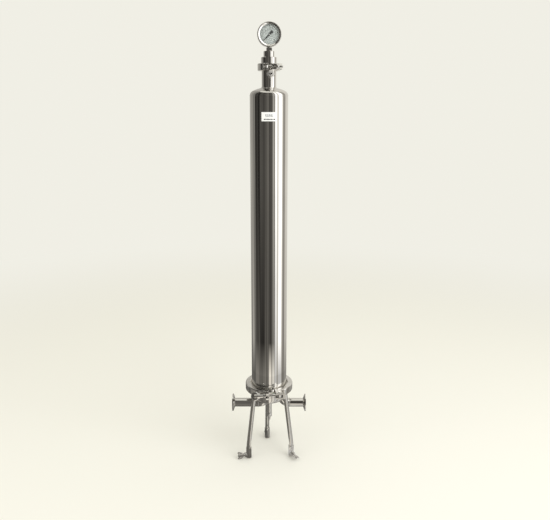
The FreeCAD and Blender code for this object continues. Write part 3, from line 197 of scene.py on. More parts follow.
def make_floor():
    rim = [polar(FLOOR_REACH, math.tau * side / FLOOR_SIDES) for side in range(FLOOR_SIDES)]
    floor = mesh_object("floor", rim, [tuple(range(FLOOR_SIDES))], floor_material())


def tent_material():
    """Light by the colour that each corner of the tent holds."""
    material, tree = empty_material("tent")
    light = tree.nodes.new("ShaderNodeVertexColor")
    light.layer_name = "light"
    glow = tree.nodes.new("ShaderNodeEmission")
    output = tree.nodes.new("ShaderNodeOutputMaterial")
    tree.links.new(light.outputs["Color"], glow.inputs["Color"])
    tree.links.new(glow.outputs[0], output.inputs["Surface"])
    return material


def tent_strips():
    """Start, lights and colour of each strip: a panel's strips are never quite the same."""
    draw = random.Random(TENT_SEED)
    ends = [panel[0] for panel in TENT_PANELS[1:]] + [180]
    strips = []
    for (start, lights, colour), end in zip(TENT_PANELS, ends):
        count = max(1, round((end - start) / TENT_STRIP))
        uneven = TENT_UNEVEN if max(lights[:2]) < TENT_DARK else TENT_EVEN
        for index in range(count):
            slip = draw.uniform(-TENT_SLIP, TENT_SLIP) if index else 0
            shades = [1 + draw.uniform(-uneven, uneven) for _ in lights]
            strips.append((
                start + (end - start) * (index + slip) / count,
                [shade * light for shade, light in zip(shades, lights)],
                colour,
            ))
    return strips


def make_tent():
    """Walls and floor that only mirrors see: they give the steel its stripes but no shadows."""
    strips = tent_strips()
    ends = [strip[0] for strip in strips[1:]] + [180]
    # radius, height and which of a strip's lights it shows, from the top down and along the floor
    levels = [(TENT_RADIUS, TENT_TOP, 0)]
    levels += [(TENT_RADIUS, height, index) for index, height in enumerate(TENT_LEVELS)]
    levels.append((TENT_HUB, TENT_LEVELS[-1], len(TENT_LEVELS) - 1))
    rows = len(levels)
    steps = 4
    tints = [[[share * light for share in colour] for light in strip_lights]
             for _, strip_lights, colour in strips]
    vertices, faces, lights = [], [], []
    for here, (start, _, _) in enumerate(strips):
        end = ends[here]
        first = len(vertices)
        for step in range(steps + 1):
            angle = math.radians(start + (end - start) * step / steps - 90)  # the front is at -90
            # a strip's edges take half of the next strip's light, so that the two run together
            beside = here
            if step == 0:
                beside = here - 1
            elif step == steps:
                beside = (here + 1) % len(strips)
            for radius, height, index in levels:
                vertices.append(polar(radius, angle, height))
                pair = zip(tints[here][index], tints[beside][index])
                lights.append([(one + other) / 2 for one, other in pair])
        for step in range(steps):
            for row in range(rows - 1):
                corner = first + step * rows + row
                faces.append((corner, corner + rows, corner + rows + 1, corner + 1))
    tent = mesh_object("tent", vertices, faces, tent_material())
    colours = tent.data.color_attributes.new("light", "FLOAT_COLOR", "CORNER")
    for face in tent.data.polygons:
        lies = all(tent.data.vertices[v].co.z < 2 * TENT_LEVELS[-1] for v in face.vertices)
        for loop in face.loop_indices:
            light = lights[tent.data.loops[loop].vertex_index]
            share = TENT_FLOOR_SHARE if lies else 1.0
            colours.data[loop].color = (*[share * value for value in light], 1.0)
    tent.visible_camera = False
    tent.visible_diffuse = False
    tent.visible_shadow = False
    tent.visible_transmission = False


def make_lights():
    for name, at, power, size in (
        ("key", (1.5, -1.3, 1.9), 30, 1.9),
        ("fill", (-1.6, -1.2, 1.3), 8, 1.6),
    ):
        data = bpy.data.lights.new(name, "AREA")
        data.shape = "RECTANGLE"
        data.size = size
        data.size_y = size * 1.6
        data.energy = power
        light = linked(name, data)
        light.location = at
        light.rotation_euler = (LIGHTS_AIM - Vector(at)).to_track_quat("-Z", "Y").to_euler()
        light.visible_camera = False


# ---------------------------------------- materials


class Graph:
    """A material's nodes, with short calls for those used here. Places are in metres."""

    def __init__(self, name):
        self.material = bpy.data.materials.new(name)
        self.material.use_nodes = True
        self.tree = self.material.node_tree
        self.shader = self.tree.nodes["Principled BSDF"]
        self.output = self.tree.nodes["Material Output"]
        self.place = self.add("ShaderNodeTexCoord").outputs["Object"]

    def add(self, kind, **settings):
        node = self.tree.nodes.new(kind)
        for key, value in settings.items():
            setattr(node, key, value)
        return node

    def put(self, socket, value):
        """Set a socket to a constant, or link it to another socket."""
        if isinstance(value, bpy.types.NodeSocket):
            self.tree.links.new(value, socket)
        else:
            socket.default_value = value

    def made(self, **values):
        """The material, after the shader's constants and links, named with _ for a space."""
        for key, value in values.items():
            if key == "Base_Color" and isinstance(value, tuple):
                value = (*value, 1)
            self.put(self.shader.inputs[key.replace("_", " ")], value)
        return self.material

    def noise(self, scale, detail=3.0, roughness=0.5, stretch=(1, 1, 1), distortion=0.0):
        mapping = self.add("ShaderNodeMapping")
        self.put(mapping.inputs["Vector"], self.place)
        mapping.inputs["Scale"].default_value = stretch
        texture = self.add("ShaderNodeTexNoise")
        self.put(texture.inputs["Vector"], mapping.outputs[0])
        for key, value in (
            ("Scale", scale), ("Detail", detail), ("Roughness", roughness),
            ("Distortion", distortion),
        ):
            texture.inputs[key].default_value = value
        return texture.outputs["Fac"]

    def cells(self, scale):
        texture = self.add("ShaderNodeTexVoronoi")
        self.put(texture.inputs["Vector"], self.place)
        texture.inputs["Scale"].default_value = scale
        return texture.outputs["Distance"]

    def range(self, value, low, high, start=0.0, end=1.0):
        """value, which goes from low to high, brought to start..end and held there."""
        node = self.add("ShaderNodeMapRange")
        self.put(node.inputs["Value"], value)
        for key, number in zip(("From Min", "From Max", "To Min", "To Max"), (low, high, start, end)):
            node.inputs[key].default_value = number
        return node.outputs["Result"]

    def total(self, first, second):
        node = self.add("ShaderNodeMath", operation="ADD")
        self.put(node.inputs[0], first)
        self.put(node.inputs[1], second)
        return node.outputs[0]

    def shades(self, noise, first, second, low=0.35, high=0.7):
        """The first colour where noise is low, and the second where it is high."""
        node = self.add("ShaderNodeMix", data_type="RGBA")
        self.put(node.inputs["Factor"], self.range(noise, low, high))
        node.inputs[6].default_value = (*first, 1)
        node.inputs[7].default_value = (*second, 1)
        return node.outputs[2]

    def spread(self, noise, start, end, high=0.7):
        """A value from start, where noise is low, to end, where it is high."""
        return self.range(noise, 0.3, high, start, end)

    def bump(self, height, depth, before=None):
        """A bump of depth metres where height goes from 0 to 1."""
        node = self.add("ShaderNodeBump")
        node.inputs["Distance"].default_value = depth
        self.put(node.inputs["Height"], height)
        if before is not None:
            self.put(node.inputs["Normal"], before)
        return node.outputs["Normal"]


def polished_steel():
    """Mirror finish: a warm grey, long faint waves, fine buffing lines and a few smears."""
    g = Graph("polished_steel_look")
    smear = g.noise(9, detail=4, roughness=0.6, stretch=(1, 1, 0.35))
    buffing = g.noise(260, detail=2, stretch=(1, 1, 20))
    wave = g.bump(g.noise(14, detail=1, stretch=(1, 1, 0.3)), 0.00030)
    return g.made(
        Metallic=1.0,
        Base_Color=g.shades(smear, (0.80, 0.785, 0.755), (0.70, 0.685, 0.66)),
        Roughness=g.total(g.spread(smear, 0.012, 0.04, 0.75), g.spread(buffing, 0.0, 0.02)),
        Normal=g.bump(buffing, 0.000001, before=wave),
    )


def satin_steel(name="satin_steel_look", low=0.05, high=0.12):
    """Investment cast steel, electropolished: soft shine over a slightly pebbled skin. Its
    roughness goes from low to high."""
    g = Graph(name)
    patch = g.noise(70, detail=4, roughness=0.6)
    pebble = g.noise(900, detail=3, roughness=0.6)
    pits = g.range(g.cells(420), 0.0, 0.16)
    return g.made(
        Metallic=1.0,
        Base_Color=g.shades(patch, (0.88, 0.865, 0.835), (0.76, 0.75, 0.72)),
        Roughness=g.total(g.spread(patch, low, high), g.spread(pebble, 0.0, 0.05)),
        Normal=g.bump(pits, 0.00003, before=g.bump(pebble, 0.00004)),
    )


def leg_steel():
    """Bright drawn rod: lines that run along it, and a few handling marks."""
    g = Graph("leg_steel_look")
    drawn = g.noise(900, detail=2, stretch=(1, 1, 0.02))
    mark = g.noise(60, detail=4, roughness=0.65, stretch=(1, 1, 0.5))
    return g.made(
        Metallic=1.0,
        Base_Color=g.shades(mark, (0.80, 0.785, 0.755), (0.68, 0.67, 0.645)),
        Roughness=g.total(g.spread(mark, 0.08, 0.15, 0.75), g.spread(drawn, 0.0, 0.05)),
        Normal=g.bump(drawn, 0.000004),
    )


def white_silicone():
    g = Graph("white_silicone_look")
    cloud = g.noise(45, detail=4)
    grain = g.noise(1600, detail=2)
    return g.made(
        Base_Color=g.shades(cloud, (0.84, 0.83, 0.79), (0.74, 0.725, 0.67)),
        Roughness=g.spread(grain, 0.42, 0.60),
        Subsurface_Weight=0.25,
        Subsurface_Scale=0.003,
        Normal=g.bump(grain, 0.00003),
    )


def label_film():
    g = Graph("label_film_look")
    cloud = g.noise(120, detail=3)
    grain = g.noise(2500, detail=2)
    return g.made(
        Base_Color=g.shades(cloud, (0.90, 0.90, 0.90), (0.83, 0.835, 0.84)),
        Roughness=g.spread(grain, 0.30, 0.44),
        Coat_Weight=0.25,
        Coat_Roughness=0.15,
        Normal=g.bump(grain, 0.00001),
    )


def black_rubber():
    g = Graph("black_rubber_look")
    dust = g.noise(140, detail=5, roughness=0.7)
    grain = g.noise(1800, detail=2)
    return g.made(
        Base_Color=g.shades(dust, (0.022, 0.022, 0.023), (0.075, 0.073, 0.07), 0.5, 0.8),
        Roughness=g.spread(dust, 0.42, 0.66),
        Sheen_Weight=0.15,
        Sheen_Roughness=0.4,
        Normal=g.bump(grain, 0.00004),
    )


def filter_media():
    """Felted polypropylene microfibre."""
    g = Graph("filter_media_look")
    fibre = g.noise(1500, detail=5, roughness=0.75, distortion=2.5)
    cloud = g.noise(60, detail=3)
    return g.made(
        Base_Color=g.shades(cloud, (0.88, 0.87, 0.83), (0.80, 0.785, 0.73)),
        Roughness=g.spread(fibre, 0.78, 0.95),
        Sheen_Weight=0.3,
        Sheen_Roughness=0.6,
        Normal=g.bump(fibre, 0.00018),
    )


def polypropylene():
    """Natural moulded polypropylene: milky, with faint flow marks."""
    g = Graph("polypropylene_look")
    flow = g.noise(35, detail=4, stretch=(1, 1, 0.3), distortion=1.5)
    grain = g.noise(1300, detail=2)
    return g.made(
        Base_Color=g.shades(flow, (0.86, 0.86, 0.83), (0.77, 0.765, 0.72)),
        Roughness=g.spread(flow, 0.32, 0.46),
        Subsurface_Weight=0.35,
        Subsurface_Scale=0.004,
        Normal=g.bump(grain, 0.00002),
    )


def brass():
    """Stamped and turned brass, lightly tarnished."""
    g = Graph("brass_look")
    tarnish = g.noise(160, detail=5, roughness=0.65)
    lines = g.noise(1200, detail=2, stretch=(1, 0.05, 1))
    return g.made(
        Metallic=1.0,
        Base_Color=g.shades(tarnish, (0.83, 0.62, 0.29), (0.50, 0.34, 0.15), 0.4, 0.72),
        Roughness=g.spread(tarnish, 0.22, 0.42),
        Normal=g.bump(lines, 0.00002),
    )


def dial_white():
    """Painted dial: a cool, slightly mottled off-white."""
    g = Graph("dial_white_look")
    mottle = g.noise(90, detail=4)
    grain = g.noise(2500, detail=2)
    return g.made(
        Base_Color=g.shades(mottle, (0.49, 0.505, 0.495), (0.44, 0.455, 0.445)),
        Roughness=g.spread(grain, 0.40, 0.56),
        Normal=g.bump(grain, 0.000015),
    )


def black_paint(name="black_paint_look", colour=(0.016, 0.016, 0.018)):
    g = Graph(name)
    wear = g.noise(400, detail=4, roughness=0.7)
    lighter = tuple(2.4 * share + 0.01 for share in colour)
    return g.made(
        Base_Color=g.shades(wear, colour, lighter, 0.55, 0.8),
        Roughness=g.spread(wear, 0.36, 0.55),
        Normal=g.bump(wear, 0.00001),
    )


def gauge_glass():
    """Clear glass, a little smeared, which lets lamps through to the dial."""
    g = Graph("gauge_glass_look")
    smear = g.noise(70, detail=3, stretch=(1, 1, 0.4))
    glass = g.made(
        Base_Color=(0.96, 0.98, 0.975),
        Roughness=g.range(smear, 0.45, 0.8, 0.0, 0.012),
        Transmission_Weight=1.0,
        IOR=1.46,
    )
    clear = g.add("ShaderNodeBsdfTransparent")
    clear.inputs["Color"].default_value = (0.93, 0.95, 0.945, 1)
    path = g.add("ShaderNodeLightPath")
    mix = g.add("ShaderNodeMixShader")
    g.put(mix.inputs["Fac"], path.outputs["Is Shadow Ray"])
    g.put(mix.inputs[1], g.shader.outputs[0])
    g.put(mix.inputs[2], clear.outputs[0])
    g.put(g.output.inputs["Surface"], mix.outputs[0])
    return glass


LOOKS = {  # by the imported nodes' material slots
    "polished_steel": polished_steel(),
    "satin_steel": satin_steel(),
    "leg_steel": leg_steel(),
    "white_silicone": white_silicone(),
    "label_film": label_film(),
    "black_rubber": black_rubber(),
    "filter_media": filter_media(),
    "polypropylene": polypropylene(),
    "brass": brass(),
    "dial_white": dial_white(),
    "pointer_black": black_paint(),
    "gauge_glass": gauge_glass(),
}
# looks of finer pieces that have no slot of their own
MACHINED = satin_steel("machined_steel_look", 0.30, 0.42)
INK = black_paint("ink_look", (0.018, 0.019, 0.024))
DIAL_INK = black_paint("dial_ink_look", (0.10, 0.105, 0.11))
GREY_INK = black_paint("grey_ink_look", (0.24, 0.25, 0.27))


def dress_nodes():
    """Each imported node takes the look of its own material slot."""
    for thing in frame["nodes"].values():
        for holder in thing.material_slots:
            holder.material = LOOKS[holder.material.name]


# ---------------------------------------- mesh tools

SHARP = math.radians(38)  # edges that turn more than this stay sharp in the shading
SLOT_OF = {part["node"]: part["material_slot"] for part in frame["record"]["subparts"]}
JOINTS = {joint["name"]: joint for joint in frame["joints"]}


def place_at(at, axis, right=(1, 0, 0)):
    """The place with its origin at a point, its Z along axis and its X as near right as can be."""
    z = Vector(axis).normalized()
    x = (Vector(right) - Vector(right).dot(z) * z).normalized()
    turn = Matrix((x, z.cross(x), z)).transposed()
    return Matrix.Translation(at) @ turn.to_4x4()


def joint_place(name, right=(0, 0, 1)):
    return place_at(JOINTS[name]["pos_m"], JOINTS[name]["axis"], right)


def dress(thing, body, slot, replaced=(), look=None):
    """Give a piece its look and the body that it rides on, and hide the CAD nodes that it replaces.
    """
    thing.data.materials.clear()
    thing.data.materials.append(look or LOOKS[slot])
    thing.data.shade_smooth()
    thing.data.set_sharp_from_angle(angle=SHARP)
    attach(thing, body)
    if replaced:
        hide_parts(*replaced)


def stand_in(thing, node, look=None):
    """Dress a finer piece that replaces one CAD node."""
    dress(thing, frame["nodes"][node]["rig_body"], SLOT_OF[node], [node], look)


def points_in(place, node):
    """A node's points, along the axes of place."""
    inverse = place.inverted()
    return [inverse @ vertex.co for vertex in frame["nodes"][node].data.vertices]


def new_object(name, bm):
    bmesh.ops.recalc_face_normals(bm, faces=bm.faces)
    mesh = bpy.data.meshes.new(name)
    bm.to_mesh(mesh)
    bm.free()
    return linked(name, mesh)


def add_mesh(bm, mesh):
    """Add the plain faces of a mesh."""
    vertices = [bm.verts.new(vertex.co) for vertex in mesh.vertices]
    for face in mesh.polygons:
        bm.faces.new([vertices[index] for index in face.vertices])


def join_rings(bm, rings, closed):
    """Faces between each ring of points and the next. A ring may be a single point."""
    pairs = list(zip(rings, rings[1:]))
    if closed:
        pairs.append((rings[-1], rings[0]))
    for low, high in pairs:
        for step in range(max(len(low), len(high))):
            corners = [low[step % len(low)], low[(step + 1) % len(low)]]
            corners += [high[(step + 1) % len(high)], high[step % len(high)]]
            bm.faces.new(list(dict.fromkeys(corners)))


def lathe(bm, outline, place, steps=64, reach=None):
    """Turn outline, points (radius, height), round place's Z.

    It starts and ends on the axis, or closes on itself. reach gives a point's radius from its
    drawn radius, its angle and its height.
    """
    rings = []
    for radius, height in outline:
        ring = []
        for step in range(steps if radius > 0 else 1):
            angle = math.tau * step / steps
            out = reach(radius, angle, height) if reach and radius > 0 else radius
            ring.append(bm.verts.new(place @ polar(out, angle, height)))
        rings.append(ring)
    join_rings(bm, rings, closed=len(rings[0]) > 1)


def rounded(outline, radius, closed=True, steps=3):
    """The outline with its corners rounded, as far as the sides beside each are long enough."""
    points = [Vector(point) for point in outline]
    result = []
    for index, point in enumerate(points):
        if not closed and index in (0, len(points) - 1):
            result.append(point)
            continue
        before = points[index - 1] - point
        after = points[(index + 1) % len(points)] - point
        cut = min(radius, 0.45 * before.length, 0.45 * after.length)
        start, end = point + before.normalized() * cut, point + after.normalized() * cut
        for step in range(steps + 1):
            share = step / steps
            middle = start.lerp(point, share), point.lerp(end, share)
            result.append(middle[0].lerp(middle[1], share))
    return [tuple(point) for point in result]


def slab(bm, outline, low, high, place):
    """A flat plate with the outline of points (x, y), from height low to high in place."""
    rings = [[bm.verts.new(place @ Vector((x, y, z))) for x, y in outline] for z in (low, high)]
    for ring in rings:
        bm.faces.new(ring)
    join_rings(bm, rings, closed=False)


def soften(thing, grain, rounds=8, keep=0.35):
    """Fuse a mesh's solids into one skin with cells of grain metres, and round its edges."""
    for kind, settings in (
        ("REMESH", {"mode": "VOXEL", "voxel_size": grain}),
        ("SMOOTH", {"factor": 0.5, "iterations": rounds}),
        ("DECIMATE", {"ratio": keep}),
    ):
        modifier = thing.modifiers.new(kind.lower(), kind)
        for key, value in settings.items():
            setattr(modifier, key, value)
    bpy.context.view_layer.update()
    graph = bpy.context.evaluated_depsgraph_get()
    mesh = bpy.data.meshes.new_from_object(thing.evaluated_get(graph))
    thing.modifiers.clear()
    thing.data = mesh
    return thing


def bead(bm, path, radius, ripples, centre, closed=True, sides=8):
    """A weld bead along path: drops that overlap, each where a pulse of the arc was."""
    rings = []
    last = len(path) - 1
    for index, point in enumerate(path):
        before = path[index - 1] if closed or index else point
        after = path[(index + 1) % len(path)] if closed or index < last else point
        along = (after - before).normalized()
        out = point - centre
        out = (out - out.dot(along) * along).normalized()
        side = along.cross(out)
        swell = 0.82 + 0.18 * abs(math.sin(math.pi * ripples * index / len(path)))
        ring = []
        for corner in range(sides):
            angle = math.tau * corner / sides
            way = math.cos(angle) * out + math.sin(angle) * side
            ring.append(bm.verts.new(point + radius * swell * way))
        rings.append(ring)
    if not closed:
        bm.faces.new(rings[0])
        bm.faces.new(rings[-1])
    join_rings(bm, rings, closed)


def circle_path(place, radius, count=120):
    return [place @ polar(radius, math.tau * index / count) for index in range(count)]


def surface_of(*names):
    """A tree for rays that hit the surface of these nodes."""
    bm = bmesh.new()
    for name in names:
        add_mesh(bm, frame["nodes"][name].data)
    tree = BVHTree.FromBMesh(bm)
    bm.free()
    return tree


def meeting_path(place, radius, tree, reach=80 * MM):
    """Where a rod of radius, along place's Z, first meets a surface; a miss is left out."""
    along = (place.to_3x3() @ UP).normalized()
    path = []
    for point in circle_path(place, radius):
        hit = tree.ray_cast(point, along, reach)[0]
        if hit is not None:
            path.append(hit)
    return path


# ---------------------------------------- welds

BELL_RADIUS = 50.8 * MM
NECK_RADIUS = 19.05 * MM
DOME_CROWN = 101.6 * MM  # radius of the dome's crown
PIPE_RADIUS = 12.7 * MM
VALVE_RADIUS = 6.5 * MM
LEG_RADIUS = 6.35 * MM
LEG_TOP_RADIUS, LEG_TOP, LEG_KNEE = 52.5 * MM, 198 * MM, 44 * MM
# where the rods of the inlet, outlet and drain start on their way up to the bowl
RISER_LEVEL = 140 * MM
INLET_RISER = Vector((36 * MM, 0, RISER_LEVEL))
OUTLET_RISER = Vector((0, 0, RISER_LEVEL))
DRAIN_RISER = Vector((1.5 * MM, -27 * MM, RISER_LEVEL))
WELD_DROP = 1.5 * MM  # length of bead that one drop adds


def weld_bead(name, path, radius, closed=True):
    centre = sum(path, Vector()) / len(path)
    length = sum((after - before).length for before, after in zip(path, path[1:]))
    bm = bmesh.new()
    bead(bm, path, radius, round(length / WELD_DROP), centre, closed)
    dress(new_object(name, bm), "housing", "satin_steel")


def make_pipe_welds():
    bowl = surface_of("base_bowl")
    inlet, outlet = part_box("inlet_pipe"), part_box("outlet_pipe")
    level = (inlet[0].z + inlet[1].z) / 2
    for name, x in (("inlet", inlet[0].x), ("outlet", outlet[1].x)):
        ring = circle_path(place_at((x, 0, level), (1, 0, 0), (0, 0, 1)), PIPE_RADIUS)
        weld_bead(f"weld_{name}_pipe", ring, 0.75 * MM)
    for name, riser, radius in (
        ("inlet_riser", INLET_RISER, PIPE_RADIUS),
        ("outlet_riser", OUTLET_RISER, PIPE_RADIUS),
        ("drain", DRAIN_RISER, VALVE_RADIUS),
    ):
        path = meeting_path(place_at(riser, UP), radius, bowl)
        weld_bead(f"weld_{name}", path, 1.1 * MM)
    vent = joint_place("vent_knob_turn")
    inwards = place_at(vent.translation, -(vent.to_3x3() @ UP), UP)
    path = meeting_path(inwards, VALVE_RADIUS, surface_of("neck"))
    weld_bead("weld_vent", path, 0.9 * MM)


def make_leg_welds():
    """A bead round the part of each leg's top that lies against the bowl."""
    bowl = surface_of("base_bowl")
    free, reach, proud = 60 * MM, 120 * MM, 0.2 * MM  # rays start this far above the knee
    for side in ("left", "right", "back"):
        foot = Vector(JOINTS[f"foot_screw_{side}_turn"]["pos_m"]).xy
        out = foot.normalized()
        knee = Vector((*foot, LEG_KNEE))
        top = Vector((*(out * LEG_TOP_RADIUS), LEG_TOP))
        rise = (top - knee).normalized()
        start = place_at(knee + rise * free, rise, (*-out, 0))
        path = meeting_path(start, LEG_RADIUS + proud, bowl, reach)
        # the misses are at the outer side, where the ring of hits opens
        gaps = [(path[index] - path[index - 1]).length for index in range(len(path))]
        widest = gaps.index(max(gaps))
        weld_bead(f"weld_leg_{side}", path[widest:] + path[:widest], 1.3 * MM, closed=False)


def make_seams():
    """Welds of the shell, ground and polished nearly flush."""
    seams = (
        ("bell_lower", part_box("bell_tube")[0].z),
        ("bell_upper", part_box("bell_tube")[1].z),
        ("bowl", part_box("base_bowl")[1].z),
    )
    width, proud = 1.7 * MM, 0.2 * MM
    depth, ripples = 0.05 * MM, 150

    def ripple(radius, angle, _height):
        return radius + depth * math.sin(ripples * angle) * (radius > BELL_RADIUS)

    for name, level in seams:
        outline = [(BELL_RADIUS - proud, level - width), (BELL_RADIUS - proud, level + width)]
        for share in (0.8, 0.4, 0.0, -0.4, -0.8):
            crown = proud * (1 - share * share)
            outline.append((BELL_RADIUS + crown, level + width * share))
        bm = bmesh.new()
        lathe(bm, outline, Matrix.Identity(4), steps=300, reach=ripple)
        dress(new_object(f"seam_{name}", bm), "housing", "polished_steel")


def make_neck_flare():
    """The flared foot of the neck, which runs out onto the dome's crown."""
    reach, rise, steps = 6.5 * MM, 8.5 * MM, 10
    sunk, proud = 0.5 * MM, 0.03 * MM
    foot = NECK_RADIUS + reach
    crown_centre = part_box("bell_dome")[1].z - DOME_CROWN
    foot_level = crown_centre + math.sqrt(DOME_CROWN ** 2 - foot ** 2)
    outline = [
        (NECK_RADIUS - sunk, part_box("neck")[0].z + 1 * MM),
        (foot - 0.4 * MM, foot_level - sunk),
    ]
    for step in range(steps + 1):
        angle = math.pi / 2 * (1 - step / steps)
        out = NECK_RADIUS + reach * (1 - math.cos(angle)) + proud
        outline.append((out, foot_level + rise * (1 - math.sin(angle))))
    outline.append((NECK_RADIUS - sunk, foot_level + rise))
    bm = bmesh.new()
    lathe(bm, outline, Matrix.Identity(4), steps=96)
    dress(new_object("neck_flare", bm), "housing", "polished_steel")


# ---------------------------------------- castings, bolts and nuts

# each cast node, and the cells that it is cast in, in millimetres
CASTINGS = {
    "main_clamp_left": 0.65, "main_clamp_right": 0.65, "main_clamp_pins": 0.4,
    "neck_clamp_left": 0.42, "neck_clamp_right": 0.42, "neck_clamp_pins": 0.3,
    "foot_socket_left": 0.42, "foot_socket_right": 0.42, "foot_socket_back": 0.42,
}


def make_castings():
    """Cast pieces have no sharp edge left: each is a copy of its node with softened edges."""
    for name, grain in CASTINGS.items():
        bm = bmesh.new()
        add_mesh(bm, frame["nodes"][name].data)
        stand_in(soften(new_object(f"{name}_cast", bm), grain * MM), name)


def thread_reach(pitch, depth, start, end):
    """A reach for lathe that cuts a right-hand V thread from height start to end."""
    def reach(radius, angle, height):
        if not start <= height <= end:
            return radius
        turn = (height / pitch - angle / math.tau) % 1.0
        fade = min(1.0, (height - start) / pitch, (end - height) / pitch)
        return radius - depth * max(0.0, 1.2 * abs(2 * turn - 1) - 0.2) * fade
    return reach


def make_eyebolt(clamp, radius, pitch, plain):
    """An eyebolt: the node's own eye and shank, plain metres long, then a threaded rod."""
    node = f"{clamp}_eyebolt"
    mesh = frame["nodes"][node].data
    eye = Vector(JOINTS[f"{clamp}_bolt_swing"]["pos_m"])
    along = Vector(JOINTS[f"{clamp}_nut_turn"]["axis"])
    end = max((vertex.co - eye).dot(along) for vertex in mesh.vertices)
    bm = bmesh.new()
    add_mesh(bm, mesh)
    bmesh.ops.bisect_plane(
        bm,
        geom=[*bm.verts, *bm.edges, *bm.faces],
        plane_co=eye + along * plain,
        plane_no=along,
        clear_outer=True,
    )
    bmesh.ops.holes_fill(bm, edges=bm.edges)
    bevel, under, per_turn = 0.7 * MM, 0.5 * MM, 8
    rows = round((end - plain) / pitch * per_turn)
    outline = [(0, plain - under), (radius - 0.02 * MM, plain - under)]
    outline += [(radius, plain + (end - bevel - plain) * row / rows) for row in range(rows + 1)]
    outline += [(radius - bevel, end), (0, end)]
    cutting = thread_reach(pitch, pitch * 0.55, plain + pitch, end + pitch)
    lathe(bm, outline, place_at(eye, along, UP), steps=40, reach=cutting)
    stand_in(new_object(f"{node}_threaded", bm), node)


def add_ear(bm, place, centre, half, lean, hollow=0.30):
    """One wing: a thick rounded lobe with a thumb's hollow in both faces. It leans by an angle."""
    before = set(bm.verts)
    bmesh.ops.create_uvsphere(bm, u_segments=40, v_segments=28, radius=1.0)
    turn = Matrix.Rotation(lean, 4, "Y")
    for vertex in set(bm.verts) - before:
        x, y, z = vertex.co
        away = x * x + z * z
        flat = math.copysign(abs(y) ** 0.6, y) * (1 - hollow * math.exp(-away / 0.30))
        local = Vector((half[0] * x, half[1] * flat, half[2] * z))
        vertex.co = place @ (Vector(centre) + turn @ local)


def winged_place(node, joint):
    """The place of a winged node, from its low end along its joint, with its X through the
    wings, and then the node's length and the reach of its wings."""
    base = joint_place(joint)
    points = points_in(base, node)
    low, high = min(p.z for p in points), max(p.z for p in points)
    tip = max(points, key=lambda p: p.xy.length)
    turn = Matrix.Rotation(math.atan2(tip.y, tip.x), 4, "Z")
    return base @ turn @ Matrix.Translation((0, 0, low)), high - low, tip.xy.length


def cast_winged(node, bm, grain):
    stand_in(soften(new_object(f"{node}_cast", bm), grain, rounds=6, keep=0.5), node)


def make_fan_nut(node, joint):
    """The main nut: a long hub that spreads into one broad plate with a thumb's hollow."""
    place, length, reach = winged_place(node, joint)
    bore, depth = 4.2 * MM, 32 * MM
    outline = [
        (0, depth), (bore, depth), (bore, 0), (5.4 * MM, 0), (5.8 * MM, 0.8 * MM),
        (5.8 * MM, 2.2 * MM), (5.2 * MM, 3.4 * MM), (6.2 * MM, 20 * MM), (5.6 * MM, depth - 2 * MM),
        (2.5 * MM, depth + 1.2 * MM), (0, depth + 1.5 * MM),
    ]
    bm = bmesh.new()
    lathe(bm, outline, place, steps=48)
    wide, tall = 0.97 * reach, 11.4 * MM
    centre, half = (0, 0, length - tall - 0.3 * MM), (wide, 3.9 * MM, tall)
    add_ear(bm, place, centre, half, 0, hollow=0.62)
    centre, half = (0, 0, length - 1.72 * tall), (0.66 * wide, 3.1 * MM, 0.8 * tall)
    add_ear(bm, place, centre, half, 0, hollow=0)
    cast_winged(node, bm, 0.36 * MM)


def make_winged(node, joint, hub_start, hub_radius, bore, grain, shank=0.0):
    """A wing nut or wing screw: a tapered hub with two leaning lobes, cast in one."""
    place, length, reach = winged_place(node, joint)
    hub = length - hub_start
    flange = hub_radius * 1.06
    outline = [
        (bore, hub_start),
        (flange, hub_start),
        (flange, hub_start + 0.12 * hub),
        (hub_radius * 0.94, hub_start + 0.28 * hub),
        (hub_radius * 0.80, hub_start + 0.95 * hub),
        (bore, hub_start + 0.95 * hub),
    ]
    bm = bmesh.new()
    if shank:
        outline = [(0, 0), (shank, 0), (shank, hub_start), *outline[1:-1], (0, outline[-1][1])]
    lathe(bm, outline, place, steps=48)
    for side in (-1, 1):
        centre = (side * 0.61 * reach, 0, hub_start + 0.60 * hub)
        half = (0.36 * reach, 0.135 * reach, 0.41 * hub)
        add_ear(bm, place, centre, half, side * math.radians(14))
    cast_winged(node, bm, grain)


def make_bolts_and_nuts():
    make_eyebolt("main", radius=4 * MM, pitch=1.25 * MM, plain=20 * MM)
    make_eyebolt("neck", radius=3 * MM, pitch=1 * MM, plain=15 * MM)
    make_fan_nut("main_wing_nut", "main_nut_turn")
    make_winged("neck_wing_nut", "neck_nut_turn", 0, 5.0 * MM, 3.15 * MM, 0.26 * MM)
    for side in ("left", "right", "back"):
        make_winged(
            f"foot_screw_{side}", f"foot_screw_{side}_turn", 8.4 * MM, 4.6 * MM, 0, 0.3 * MM,
            shank=2.95 * MM,
        )


# ---------------------------------------- valves


KNOB_LENGTH = 12 * MM
KNOB_AND_NOZZLE = 23 * MM  # from the knob's start to the nozzle's tip


